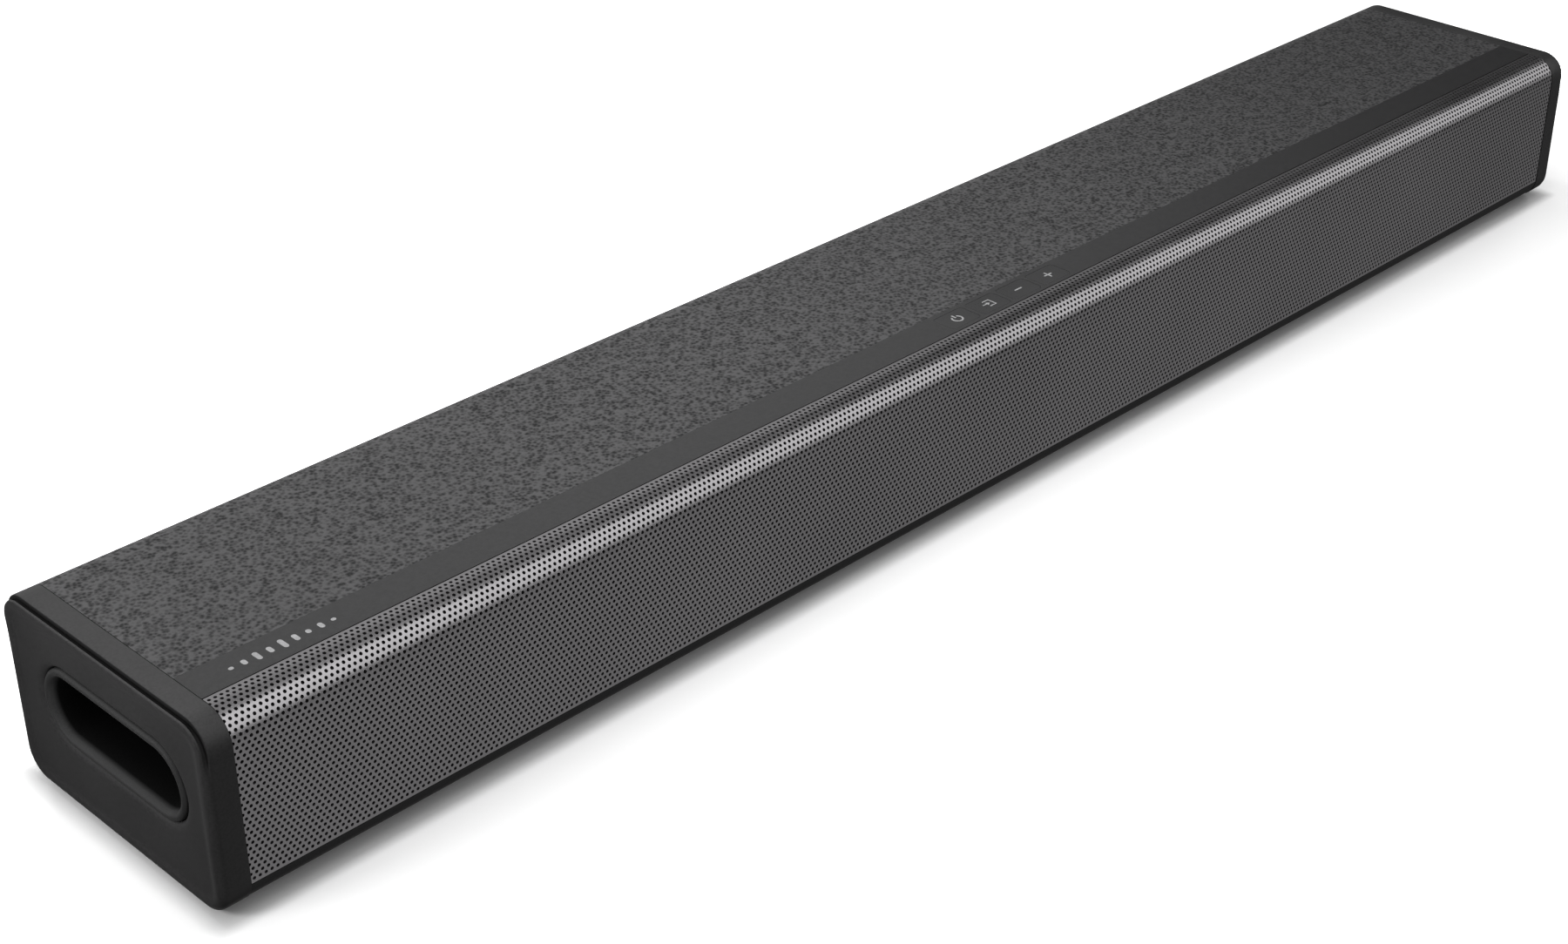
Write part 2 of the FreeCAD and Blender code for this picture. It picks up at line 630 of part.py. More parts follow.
kb = box("KeyBoardPlate", -43, -35.2, 53.2, 83, 13.0, 1.1)
kh = [cyl("KeyBoardHole%d" % i, x, -29, 53.0, 1.2, 2.0) for i, x in enumerate((-38.0, 35.0))]
keep(cut("KeyBoard", kb, kh), "key_board")
sw = []
for i, kx in enumerate(key_xs):
    o = box("SwitchBlock%d" % i, kx - 3.0, -key_y - 3.0, 54.3, 6.0, 6.0, 2.0)
    h = cyl("SwitchWell%d" % i, kx, -key_y, 54.5, 1.35, 3.0)
    sw.append(cut("Switch%d" % i, o, [h]))
keep(group("Switches", sw), "tact_switches")


# ------------------------------------------------------------------ loudspeaker drivers
def ring_solid(cx, cz, w, t, pts):
    """Solid of one cross-section carried round a slot outline.

    pts are (distance from the end centre, depth y). w, t: outline the straight part is taken from."""
    s = (w - t) / 2.0
    face = Part.Face(Part.makePolygon([V(cx + s + r, y, cz) for r, y in pts] + [V(cx + s + pts[0][0], pts[0][1], cz)]))
    if s < 1e-6:
        return face.revolve(V(cx, 0, cz), V(0, 1, 0), 360)
    up = Part.Face(Part.makePolygon([V(cx + s, y, cz + r) for r, y in pts] + [V(cx + s, pts[0][1], cz + pts[0][0])]))
    a = up.revolve(V(cx + s, 0, cz), V(0, 1, 0), 180)
    lo = Part.Face(Part.makePolygon([V(cx - s, y, cz - r) for r, y in pts] + [V(cx - s, pts[0][1], cz - pts[0][0])]))
    c = lo.revolve(V(cx - s, 0, cz), V(0, 1, 0), 180)
    top = up.extrude(V(-2 * s, 0, 0))
    bot = lo.extrude(V(2 * s, 0, 0))
    out = a.fuse([c, top, bot]).removeSplitter()
    if a.common(c).Volume > 1e-6:
        raise RuntimeError("ring halves overlap")
    return out.Solids[0] if len(out.Solids) == 1 else out


def slot_face(cx, cz, w, t, y):
    r = t / 2.0
    s = w / 2.0 - r
    p = [V(cx - s, y, cz - r), V(cx + s, y, cz - r), V(cx + s, y, cz + r), V(cx - s, y, cz + r)]
    e = [Part.LineSegment(p[0], p[1]).toShape(), Part.Arc(p[1], V(cx + s + r, y, cz), p[2]).toShape(),
         Part.LineSegment(p[2], p[3]).toShape(), Part.Arc(p[3], V(cx - s - r, y, cz), p[0]).toShape()]
    return Part.Wire(e)


def feature(name, shape, label):
    o = doc.addObject("Part::Feature", name)
    o.Shape = shape
    o.Placement = FreeCAD.Placement()
    return keep(o, label)


def arc_pts(cx, cy, r, a0, a1, n):
    return [(cx + r * math.cos(math.radians(a0 + (a1 - a0) * i / n)), cy + r * math.sin(math.radians(a0 + (a1 - a0) * i / n))) for i in range(n + 1)]


y_mount = -baf_front.v + baf_thick.v      # rear plane of the baffle plate


def corner_holes(w, t):
    a, c = w / 2.0 - 3.6, t / 2.0 - 3.6
    return [(-a, -c), (a, -c), (a, c), (-a, c)]


def driver(tag, label, cx, w, t, coil_r, motor_r, y_bridge, plate_h, mag_h, roll):
    """One driver: w x t frame, axis along Y. Everything is measured from the baffle's rear plane."""
    cz = float(sheet.driver_height)
    cxq = cx
    cx = cx.v if isinstance(cx, Q) else cx
    r_out = t / 2.0
    y_g = y_mount + 0.6                 # front of the flange, behind the foam ring
    y_f = y_g + 1.5
    r_hole = r_out - 4.4                # opening in the flange
    # basket: flange, pot wall, ledge for the spider, bridge plate that carries the motor
    b = body(tag + "Basket")
    sk = sketch(b, tag + "Flange", "XZ_Plane", -y_f)
    rrect(sk, cxq, drv_z, w, t, 4.5)
    pad(b, tag + "FlangePad", sk, 1.5)
    for i, (dx, dzz) in enumerate(corner_holes(w, t)):
        sk = sketch(b, tag + "Fixing%d" % i, "XZ_Plane", -(y_f + 1.0))
        circle(sk, cxq + dx, drv_z + dzz, 1.2)
        pocket(b, tag + "FixingCut%d" % i, sk, 4.0, rev=True)
    sk = sketch(b, tag + "Pot", "XZ_Plane", -y_bridge)
    stadium(sk, cxq, drv_z, w - 5.0, t - 5.0)
    pad(b, tag + "PotPad", sk, y_bridge - y_g - 0.5)
    sk = sketch(b, tag + "PotInside", "XZ_Plane", -(y_bridge - 1.5))
    stadium(sk, cxq, drv_z, w - 8.8, t - 8.8)
    pocket(b, tag + "PotInsideCut", sk, 30.0, rev=True)
    sk = sketch(b, tag + "Ledge", "XZ_Plane", -(y_bridge - 1.2))
    stadium(sk, cxq, drv_z, w - 8.0, t - 8.0)
    pad(b, tag + "LedgePad", sk, 2.8)
    sk = sketch(b, tag + "LedgeInside", "XZ_Plane", -(y_bridge - 1.5))
    stadium(sk, cxq, drv_z, w - 14.0, t - 14.0)
    pocket(b, tag + "LedgeInsideCut", sk, 6.0, rev=True)
    sk = sketch(b, tag + "CoilHole", "XZ_Plane", -(y_bridge + 1.0))
    circle(sk, cxq, drv_z, coil_r + 1.6)
    pocket(b, tag + "CoilHoleCut", sk, 6.0, rev=True)
    # vents through the bridge plate
    vents = []
    if w > t:
        vents = [(dx, dz) for dx in (-34.0, -27.0, 27.0, 34.0) for dz in (-8.0, 0.0, 8.0)]
        vr = 2.4
    else:
        vents = [((coil_r + 4.6) * math.cos(math.radians(a)), (coil_r + 4.6) * math.sin(math.radians(a))) for a in range(0, 360, 45)]
        vr = 1.5
    if w > t:
        for i, (dx, dzz) in enumerate(vents):
            sk = sketch(b, tag + "Vent%d" % i, "XZ_Plane", -(y_bridge + 1.0))
            circle(sk, cxq + dx, drv_z + dzz, vr)
            pocket(b, tag + "VentCut%d" % i, sk, 4.0, rev=True)
    keep(b, label + "_basket")
    # motor
    yp = y_bridge + plate_h
    ym = yp + mag_h
    yk = ym + plate_h
    pole = coil_r - 0.5
    fp = cut(tag + "FrontPlate", cyl(tag + "FrontDisc", cxq, y_bridge, drv_z, motor_r - 1.0, plate_h, "y"), [cyl(tag + "Gap", cxq, y_bridge - 1, drv_z, coil_r + 0.7, plate_h + 2, "y")])
    yo = fuse(tag + "Yoke", [cyl(tag + "BackDisc", cxq, ym, drv_z, motor_r - 1.0, plate_h, "y"), cyl(tag + "Pole", cxq, y_bridge - 0.5, drv_z, pole, ym - y_bridge + 1.5, "y")])
    keep(group(tag + "MotorPlates", [fp, yo]), label + "_motor_plates")
    keep(cut(tag + "Magnet", cyl(tag + "MagnetDisc", cxq, yp, drv_z, motor_r, mag_h, "y"), [cyl(tag + "MagnetBore", cxq, yp - 1, drv_z, coil_r + 2.6, mag_h + 2, "y")]), label + "_magnet")
    # surround: flat, half roll to the front, flat. It lies on the front of the flange.
    th = 0.4
    ra = r_out - 2.9                    # outer edge of the outer flat
    rb = r_out - 4.3                    # roll starts
    rc = rb - 2 * roll                  # roll ends
    rd = rc - 1.2                       # inner edge of the inner flat
    rm = (rb + rc) / 2.0
    top = [(x, y_g - 0.02 - th / 2 - yy) for x, yy in arc_pts(rm, 0, roll + th / 2, 0, 180, 14)]
    und = [(x, y_g - 0.02 - th / 2 - yy) for x, yy in arc_pts(rm, 0, roll - th / 2, 180, 0, 14)]
    y_a, y_b = y_g - 0.02 - th, y_g - 0.02
    pts = [(ra, y_b), (ra, y_a), (rb + th / 2, y_a)] + [p for p in top if p[1] < y_a - 0.05] + [(rc - th / 2, y_a), (rd, y_a), (rd, y_b), (rc + th / 2, y_b)] + [p for p in und if p[1] < y_b - 0.15] + [(rb - th / 2, y_b)]
    feature(tag + "Surround", ring_solid(cx, cz, w, t, pts), label + "_surround")
    # cone with its former, glued under the surround's inner flat
    s = (w - t) / 2.0
    yc0 = y_g                             # front edge of the cone
    yc1 = y_bridge - 5.5                  # where it meets the former
    rim = rc - 0.05
    k = 0.7
    if s < 1e-6:
        outer = [(rim, yc0), (rim, yc0 + 0.5), (rim - 0.9, yc0 + 0.7), (coil_r + 0.15, yc1 + k), (coil_r + 0.15, ym - 4.0), (coil_r - 0.2, ym - 4.0), (coil_r - 0.2, yc1 - 0.2)] + \
            [(coil_r * 0.66, yc1 - 1.0), (coil_r * 0.4, yc1 - 1.5), (0.0, yc1 - 1.8), (0.0, yc1 - 2.4), (coil_r * 0.4, yc1 - 2.1), (coil_r * 0.66, yc1 - 1.6), (coil_r + 0.1, yc1 - 0.6)]
        outer.append((rim - 1.0, yc0))
        face = Part.Face(Part.makePolygon([V(cx + r, y, cz) for r, y in outer] + [V(cx + outer[0][0], outer[0][1], cz)]))
        cone = face.revolve(V(cx, 0, cz), V(0, 1, 0), 360)
    else:
        def loft(r0, y0, r1, y1):
            return Part.makeLoft([slot_face(cx, cz, 2 * (r0 + s), 2 * r0, y0), slot_face(cx, cz, 2 * r1 + 0.4, 2 * r1, y1)], True, True)
        outer = loft(rim, yc0, coil_r + 0.4, yc1)
        inner = loft(rim - 1.0, yc0 - 0.02, coil_r - 0.25, yc1 - 0.7)
        shell = outer.cut(inner)
        dia = Part.makeCylinder(coil_r + 0.15, ym - 4.0 - (yc1 - 0.3), V(cx, yc1 - 0.3, cz), V(0, 1, 0))
        bore = Part.makeCylinder(coil_r - 0.2, 40.0, V(cx, yc1 + 0.3, cz), V(0, 1, 0))
        dome = Part.makeSphere(coil_r * 1.6, V(cx, yc1 - 2.6 + coil_r * 1.6, cz)).cut(Part.makeSphere(coil_r * 1.6 - 0.5, V(cx, yc1 - 2.6 + coil_r * 1.6, cz)))
        dome = dome.common(Part.makeCylinder(coil_r + 0.1, 4.0, V(cx, yc1 - 3.2, cz), V(0, 1, 0)))
        cone = shell.fuse([dia.cut(bore), dome]).removeSplitter()
        cone = max(cone.Solids, key=lambda x: x.Volume)
    feature(tag + "Cone", cone, label + "_cone")
    # spider: corrugated disc between the former and the ledge
    n = 5
    r0, r1 = coil_r + 0.2, r_out - 4.6
    ys = y_bridge - 4.0 - 0.25
    a, c = [], []
    m = 20
    rr0, rr1 = r0 + 0.8, r_out - 7.2
    if s > 1e-6:
        rr1 = r_out - 7.2
    for i in range(m + 1):
        r = rr0 + (rr1 - rr0) * i / m
        yy = ys + 0.45 * math.sin(2 * math.pi * n * 0.6 * i / m)
        a.append((r, yy - 0.15))
        c.append((r, yy + 0.15))
    if s < 1e-6:
        prof = [(r0, ys - 0.15)] + a + [(r1, ys - 0.15), (r1, ys + 0.15)] + c[::-1] + [(r0, ys + 0.15)]
        sp = ring_solid(cx, cz, w, t, prof)
    else:
        # slot-shaped sheet with a round middle
        out = Part.Face(slot_face(cx, cz, 2 * (r1 + s), 2 * r1, ys - 0.15)).extrude(V(0, 0.3, 0))
        sp = out.cut(Part.makeCylinder(coil_r + 0.2, 4, V(cx, ys - 2, cz), V(0, 1, 0)))
        for rr in (coil_r + 2.5, coil_r + 4.7):
            sp = sp.fuse(Part.makeTorus(rr, 0.45, V(cx, ys, cz), V(0, 1, 0)))
        sp = sp.removeSplitter()
        sp = max(sp.Solids, key=lambda x: x.Volume)
    feature(tag + "Spider", sp, label + "_spider")
    return yk


driver("Wf", "woofer", 0.0, 96.0, 48.0, 10.0, 20.0, -23.0, 4.0, 7.0, 2.6)
driver("Dr", "driver_right", full_x, 46.0, 46.0, 6.8, 15.0, -23.0, 3.0, 6.5, 2.0)
driver("Dl", "driver_left", -full_x, 46.0, 46.0, 6.8, 15.0, -23.0, 3.0, 6.5, 2.0)

gas = []
for nm, cx, w, t in (("W", 0.0, 96.0, 48.0), ("R", 195.0, 46.0, 46.0), ("L", -195.0, 46.0, 46.0)):
    gas.append(ring_solid(cx, 31.0, w, t, [(t / 2 - 0.2, y_mount), (t / 2 - 0.2, y_mount + 0.6), (t / 2 - 2.4, y_mount + 0.6), (t / 2 - 2.4, y_mount)]))
feature("Gaskets", Part.makeCompound(gas), "driver_gaskets")

# sealed back chambers of the full-range drivers
for t, s, label in (("R", 1, "driver_cup_right"), ("L", -1, "driver_cup_left")):
    b = body("Cup" + t)
    sk = sketch(b, "CupOutline" + t, "XZ_Plane", -(y_mount + 0.05))
    rrect(sk, full_x * s, 31, 60, 50.4, 5)
    pad(b, "CupPad" + t, sk, 34.0, rev=True)
    sk = sketch(b, "CupInside" + t, "XZ_Plane", -(y_mount - 1))
    rrect(sk, full_x * s, 31, 57, 47.4, 3.5)
    pocket(b, "CupHollow" + t, sk, 33.5 + 0.0)
    keep(b, label)

# ------------------------------------------------------------------ electronics
pcb_z = 18.0
parts = [box("MainPlate", -85, -5.5, pcb_z, 170, 36.5, 1.6),
         box("MainChipA", -12, 3, pcb_z + 1.5, 14, 14, 1.5), box("MainChipB", 12, 6, pcb_z + 1.5, 9, 9, 1.2),
         box("LeadHeader", 60, -4.5, pcb_z + 1.5, 14, 5, 5.0), box("DcHeader", 70, 8, pcb_z + 1.5, 8, 6, 6.0), box("AmpChip", -60, 4, pcb_z + 1.5, 20, 12, 2.0)]
mp = fuse("MainParts", parts)
keep(cut("MainBoard", mp, [cyl("MainHole%d" % i, x, y, pcb_z - 1, 1.6, 4) for i, (x, y) in enumerate(main_studs)]), "main_board")
fins = [box("SinkBase", -64, 2, pcb_z + 3.5, 28, 16, 2.0)] + [box("Fin%d" % i, -64 + i * 3.84, 2, pcb_z + 5.4, 1.1, 16, 9.0) for i in range(8)]
keep(fuse("HeatSink", fins), "amp_heatsink")
keep(fuse("Wireless", [box("WirelessPlate", 30, 2, pcb_z + 1.6, 24, 16, 0.9), box("WirelessCan", 31, 3, pcb_z + 2.4, 14, 14, 1.8)]), "wireless_module")

pz = 9.0
pp = fuse("PsuParts", [box("PsuPlate", 112, 0, pz, 100, 40, 1.6), box("PsuBridge", 126, 4, pz + 1.5, 14, 5, 10), box("PsuChoke", 144, 3, pz + 1.5, 12, 12, 10), box("PsuSwitch", 196, 30, pz + 1.5, 4, 9, 14)])
keep(cut("Psu", pp, [cyl("PsuHole%d" % i, x, y, pz - 1, 1.6, 4) for i, (x, y) in enumerate(psu_studs)]), "psu_board")
keep(fuse("Transformer", [box("TrCore", 180, 8, pz + 1.6, 22, 17, 18), box("TrBobbin", 183, 4.5, pz + 1.6, 16, 24, 13)]), "psu_transformer")
keep(cyl("Capacitor", 168, 10, pz + 1.6, 8.0, 22, "z"), "psu_capacitor")

ind = fuse("Indicator", [box("IndPlate", 70, bf.v - 1.6, 24, 28, 1.6, 12), box("Led0", 73, bf.v - 2.4, 29, 2, 1.0, 1.6), box("Led1", 78, bf.v - 2.4, 29, 2, 1.0, 1.6), box("Led2", 83, bf.v - 2.4, 29, 2, 1.0, 1.6), cyl("IrEye", 91, bf.v - 4.0, 30, 2.4, 2.6, "y")])
keep(ind, "indicator_board")

# ------------------------------------------------------------------ sockets
sf = hd.v - 14.0 + 0.6                 # sockets stand this far through the floor of the recess
base_z = pcb_z + 1.6
ax, az = SOCK["aux"]
keep(cut("AuxJack", fuse("AuxSolid", [box("AuxBlock", ax - 5, sf - 16, base_z, 10, 13, az - base_z + 4.0), cyl("AuxBarrel", ax, sf - 4, az, 3.0, 4, "y")]),
         [cyl("AuxBore", ax, sf - 13.0, az, jack_r, 14.0, "y")]), "aux_jack")
ox, oz = SOCK["optical"]
keep(cut("Optical", box("OptBlock", ox - 5, sf - 14, base_z, 10, 14, oz - base_z + 5.0), [box("OptWell", ox - 4.1, sf - 8.0, oz - 4.1, 8.2, 9.0, 8.2)]), "optical_socket")
hx, hz = SOCK["hdmi"]
b = body("Hdmi")
sk = sketch(b, "HdmiShell", "XZ_Plane", -(sf - 11.5))
outline(sk, [(hx - 5.6, hz - 2.95), (hx + 5.6, hz - 2.95), (hx + 7.4, hz - 1.0), (hx + 7.4, hz + 2.95), (hx - 7.4, hz + 2.95), (hx - 7.4, hz - 1.0)])
pad(b, "HdmiPad", sk, 11.5, rev=True)
sk = sketch(b, "HdmiWell", "XZ_Plane", -(sf + 1))
outline(sk, [(hx - 5.3, hz - 2.45), (hx + 5.3, hz - 2.45), (hx + 6.9, hz - 0.8), (hx + 6.9, hz + 2.45), (hx - 6.9, hz + 2.45), (hx - 6.9, hz - 0.8)])
pocket(b, "HdmiWellCut", sk, 10.5, rev=True)
sk = sketch(b, "HdmiTongue", "XZ_Plane", -(sf - 10.0))
rect(sk, hx - 5.6, hz + 0.1, 11.2, 1.1)
pad(b, "HdmiTonguePad", sk, 8.8, rev=True)
keep(b, "hdmi_socket")
ux, uz = SOCK["usb"]
b = body("Usb")
sk = sketch(b, "UsbShell", "XZ_Plane", -(sf - 14.0))
rrect(sk, ux, uz, 13.2, 5.8, 0.5)
pad(b, "UsbPad", sk, 14.0, rev=True)
sk = sketch(b, "UsbWell", "XZ_Plane", -(sf + 1))
rrect(sk, ux, uz, 12.4, 5.0, 0.3)
pocket(b, "UsbWellCut", sk, 13.0, rev=True)
sk = sketch(b, "UsbTongue", "XZ_Plane", -(sf - 12.5))
rect(sk, ux - 5.6, uz + 0.4, 11.2, 1.9)
pad(b, "UsbTonguePad", sk, 11.2, rev=True)
keep(b, "usb_socket")

b = body("Inlet")
sk = sketch(b, "InletBlock", "XZ_Plane", -(hd - 20.0))
rrect(sk, 150, 31, 22.0, 14.0, 2.5)
pad(b, "InletBlockPad", sk, 19.9, rev=True)
sk = sketch(b, "InletFlange", "XZ_Plane", -(hd - 3.0))
rrect(sk, 150, 31, 24.0, 16.0, 3.0)
pad(b, "InletFlangePad", sk, 2.9, rev=True)
sk = sketch(b, "InletWell", "XZ_Plane", -(hd + 1))
stadium(sk, 150, 31, 17.4, 9.0)
pocket(b, "InletWellCut", sk, 13.0, rev=True)
for i, dx in enumerate((-4.3, 4.3)):
    sk = sketch(b, "InletPinHole%d" % i, "XZ_Plane", -(hd - 11.0))
    circle(sk, 150 + dx, 31, 1.2)
    pocket(b, "InletPinHoleCut%d" % i, sk, 10.0, rev=True)
keep(b, "mains_inlet")
pins = []
for i, dx in enumerate((-4.3, 4.3)):
    o = cyl("Pin%d" % i, 150 + dx, hd - 24.0, 31, 1.2, 21.0, "y")
    pins.append(rounded("PinRound%d" % i, o, 0.7, lambda e: e.Closed and e.Vertexes[0].Point.y > 40))
keep(group("Pins", pins), "mains_pins")

# ------------------------------------------------------------------ wiring
def lead(points, dia):
    """Round wire: straight runs joined by tangent arcs as large as the runs allow."""
    pts = [V(*p) for p in points]
    n = len(pts)
    edges = []
    cur = pts[0]
    length = 0.0
    radii = []
    for i in range(1, n - 1):
        a, p, c = pts[i - 1], pts[i], pts[i + 1]
        u = (a - p).normalize()
        v = (c - p).normalize()
        turn = math.pi - u.getAngle(v)
        run = min((a - p).Length, (c - p).Length)
        r = 0.45 * run / math.tan(turn / 2)
        d = r * math.tan(turn / 2)
        s, e = p + u * d, p + v * d
        bis = (u + v).normalize()
        mid = p + bis * (r / math.cos(turn / 2) - r)
        edges.append(Part.LineSegment(cur, s).toShape())
        edges.append(Part.Arc(s, mid, e).toShape())
        length += (s - cur).Length + r * turn
        radii.append(r)
        cur = e
    edges.append(Part.LineSegment(cur, pts[-1]).toShape())
    length += (pts[-1] - cur).Length
    wire = Part.Wire(edges)
    dirn = (pts[1] - pts[0]).normalize()
    prof = Part.Wire([Part.makeCircle(dia / 2.0, pts[0], dirn)])
    pipe = wire.makePipeShell([prof], True, False)
    want = math.pi * dia * dia / 4 * length
    print("lead %.1f mm, radii %s, volume ratio %.4f" % (length, ["%.1f" % r for r in radii], pipe.Volume / want))
    if not pipe.isValid() or abs(pipe.Volume / want - 1) > 0.01:
        raise RuntimeError("lead")
    return pipe


def pair(points, dia, off):
    return [lead(points, dia), lead([(x + off[0], y + off[1], z + off[2]) for x, y, z in points], dia)]


wires = []
wires += pair([(72, -4.5, 23.6), (72, -8, 23.4), (82, -12, 20), (105, -13, 16), (130, -9, 14), (152, -1.5, 18), (172, 1.0, 26), (188, -0.5, 31), (193, -4.45, 33)], 1.4, (0, 0, -1.7))
wires += pair([(68, -4.5, 23.6), (68, -10, 24), (64, -18, 27), (56, -26, 31), (46.0, -28.5, 31)], 1.4, (0, 0, -1.7))
wires += pair([(64, -4.5, 22), (62, -10, 20.5), (50, -13.5, 13), (26, -14, 7.5), (-10, -13, 7), (-50, -12, 7), (-90, -12, 7.5), (-130, -9, 11), (-158, -1.5, 17), (-176, 0.5, 25), (-189, -0.8, 31), (-193, -4.45, 33)], 1.4, (-1.9, 0, 0))
feature("SpeakerLeads", Part.makeCompound(wires), "speaker_leads")
ml = [lead([(145.7, 23.5, 31), (145.7, 20, 31), (143, 16.5, 28), (138, 14, 23), (134, 14.5, 16), (133, 16, 10.6)], 2.0)]
ml += [lead([(154.3, 23.5, 31), (154.3, 20, 31), (152.6, 17.3, 27), (149, 17.5, 21), (146, 19, 15), (145, 20, 10.6)], 2.0)]
feature("MainsLead", Part.makeCompound(ml), "mains_lead")

# ------------------------------------------------------------------ fasteners, feet, label
def screw(name, x, y, z, rs, ls, rh, lh, axis="z", flip=False):
    """Pan head screw; the head sits at the low end of its axis unless flipped."""
    if axis == "z":
        a = cyl(name + "H", x, y, z, rh, lh)
        s = cyl(name + "S", x, y, z + lh - 0.1 if not flip else z - ls, rs, ls + 0.1)
        k = cyl(name + "K", x, y, z - 0.01 if not flip else z + lh - 0.9, rs * 0.62, 0.9 + 0.01)
    else:
        a = cyl(name + "H", x, y, z, rh, lh, "y")
        s = cyl(name + "S", x, y - ls, z, rs, ls + 0.1, "y")
        k = cyl(name + "K", x, y + lh - 0.9, z, rs * 0.62, 1.0, "y")
    return cut(name, fuse(name + "F", [a, s]), [k])


keep(group("CaseScrews", [screw("CaseScrew%d" % i, x, y, 41.0, 1.5, 13.0, 2.8, 2.0) for i, (x, y) in enumerate(boss_top)]), "case_screws")
bs = [screw("BoardScrew%d" % i, x, y, pcb_z + 1.6, 1.2, 5.0, 2.4, 1.5, flip=True) for i, (x, y) in enumerate(main_studs)]
bs += [screw("BoardScrew%d" % (i + 4), x, y, pz + 1.6, 1.2, 5.0, 2.4, 1.5, flip=True) for i, (x, y) in enumerate(psu_studs)]
bs += [screw("BoardScrew%d" % (i + 8), x, -29, 53.2 - 1.4, 0.9, 4.2, 2.0, 1.4) for i, x in enumerate((-38.0, 35.0))]
keep(group("BoardScrews", bs), "board_screws")

ds = [screw("DriverScrew%d" % i, dx, y_mount + 2.1, drv_z + dzz, 1.0, 4.4, 1.9, 1.2, axis="y") for i, (dx, dzz) in enumerate(fixings)]
keep(group("DriverScrews", ds), "driver_screws")

feet = []
for i, (x, y) in enumerate(((250, 31), (-250, 31), (250, -31), (-250, -31))):
    o = box("FootBlock%d" % i, x - 20, y - 5, 0, 40, 10, foot_high)
    feet.append(rounded("Foot%d" % i, o, 4.0, upright))
keep(group("Feet", feet), "feet")
keep(rounded("Label", box("LabelPlate", -40, -18, foot_high - 0.15, 80, 36, 0.15), 2.0, upright), "rating_label")

ins = []
for i, s in enumerate((1, -1)):
    ins.append(cut("Insert%d" % i, cyl("InsertBody%d" % i, mount_x * s, hd - 8.6, 31, 3.0, 8.5, "y"), [cyl("InsertBore%d" % i, mount_x * s, hd - 9.6, 31, mount_r, 11, "y")]))
keep(group("Inserts", ins), "wall_mount_inserts")

# ------------------------------------------------------------------ check and write
doc.recompute()
bad = []
for o in doc.Objects:
    st = [x for x in o.State if x in ("Invalid", "Error")]
    if st:
        bad.append((o.Name, st))
labels = [o.Label for o in nodes]
if len(set(labels)) != len(labels):
    bad.append(("labels", "repeated"))
for o in nodes:
    if o.Shape.isNull() or not o.Shape.isValid() or not o.Shape.Solids:
        bad.append((o.Label, "shape", o.Shape.isNull(), (not o.Shape.isNull()) and o.Shape.isValid()))
if bad:
    for x in bad:
        print("BAD", x)
    raise SystemExit(1)
os.makedirs("parts", exist_ok=True)
for o in nodes:
    o.Shape.exportStep("parts/" + o.Label + ".step")
    bb = o.Shape.BoundBox
    print("%-26s %2d solids %10.1f mm3  x %.1f %.1f  y %.1f %.1f  z %.1f %.1f" % (o.Label, len(o.Shape.Solids), o.Shape.Volume, bb.XMin, bb.XMax, bb.YMin, bb.YMax, bb.ZMin, bb.ZMax))
print(len(nodes), "nodes")
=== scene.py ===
import json
import math

import bpy
import numpy as np
from mathutils import Matrix, Vector


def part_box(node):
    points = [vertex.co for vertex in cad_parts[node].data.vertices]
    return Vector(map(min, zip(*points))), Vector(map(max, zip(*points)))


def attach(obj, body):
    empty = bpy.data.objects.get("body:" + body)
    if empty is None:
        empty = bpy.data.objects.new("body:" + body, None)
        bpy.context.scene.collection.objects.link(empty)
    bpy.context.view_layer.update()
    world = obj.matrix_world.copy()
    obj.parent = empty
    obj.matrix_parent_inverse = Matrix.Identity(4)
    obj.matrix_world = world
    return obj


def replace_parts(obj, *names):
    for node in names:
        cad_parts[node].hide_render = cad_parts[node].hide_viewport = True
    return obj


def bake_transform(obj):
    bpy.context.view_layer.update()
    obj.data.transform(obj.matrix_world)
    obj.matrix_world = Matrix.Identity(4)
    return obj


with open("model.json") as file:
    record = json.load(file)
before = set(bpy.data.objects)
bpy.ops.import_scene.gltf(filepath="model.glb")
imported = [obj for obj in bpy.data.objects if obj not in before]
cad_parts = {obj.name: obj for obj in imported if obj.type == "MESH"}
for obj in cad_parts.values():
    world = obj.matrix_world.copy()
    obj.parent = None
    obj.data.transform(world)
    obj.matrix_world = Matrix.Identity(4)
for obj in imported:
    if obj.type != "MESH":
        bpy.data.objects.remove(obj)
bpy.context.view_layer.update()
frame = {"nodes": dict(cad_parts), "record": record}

MM = 0.001
scene = bpy.context.scene
nodes = frame["nodes"]


# ------------------------------------------------------------------ mesh helpers
def signed_volume(co, faces):
    tot = 0.0
    for f in faces:
        a = co[f[0]]
        for i in range(1, len(f) - 1):
            tot += float(np.dot(a, np.cross(co[f[i]], co[f[i + 1]])))
    return tot


def make(name, co_mm, faces, mat, body, sharp=35.0, orient=True):
    co = np.asarray(co_mm, float)
    faces = [tuple(int(i) for i in f) for f in faces]
    if orient and signed_volume(co - co.mean(0), faces) < 0:
        faces = [f[::-1] for f in faces]
    me = bpy.data.meshes.new(name)
    me.from_pydata((co * MM).tolist(), [], faces)
    me.validate()
    me.shade_smooth()
    me.set_sharp_from_angle(angle=math.radians(sharp))
    me.materials.append(mat)
    o = bpy.data.objects.new(name, me)
    scene.collection.objects.link(o)
    if body:
        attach(o, body)
    return o


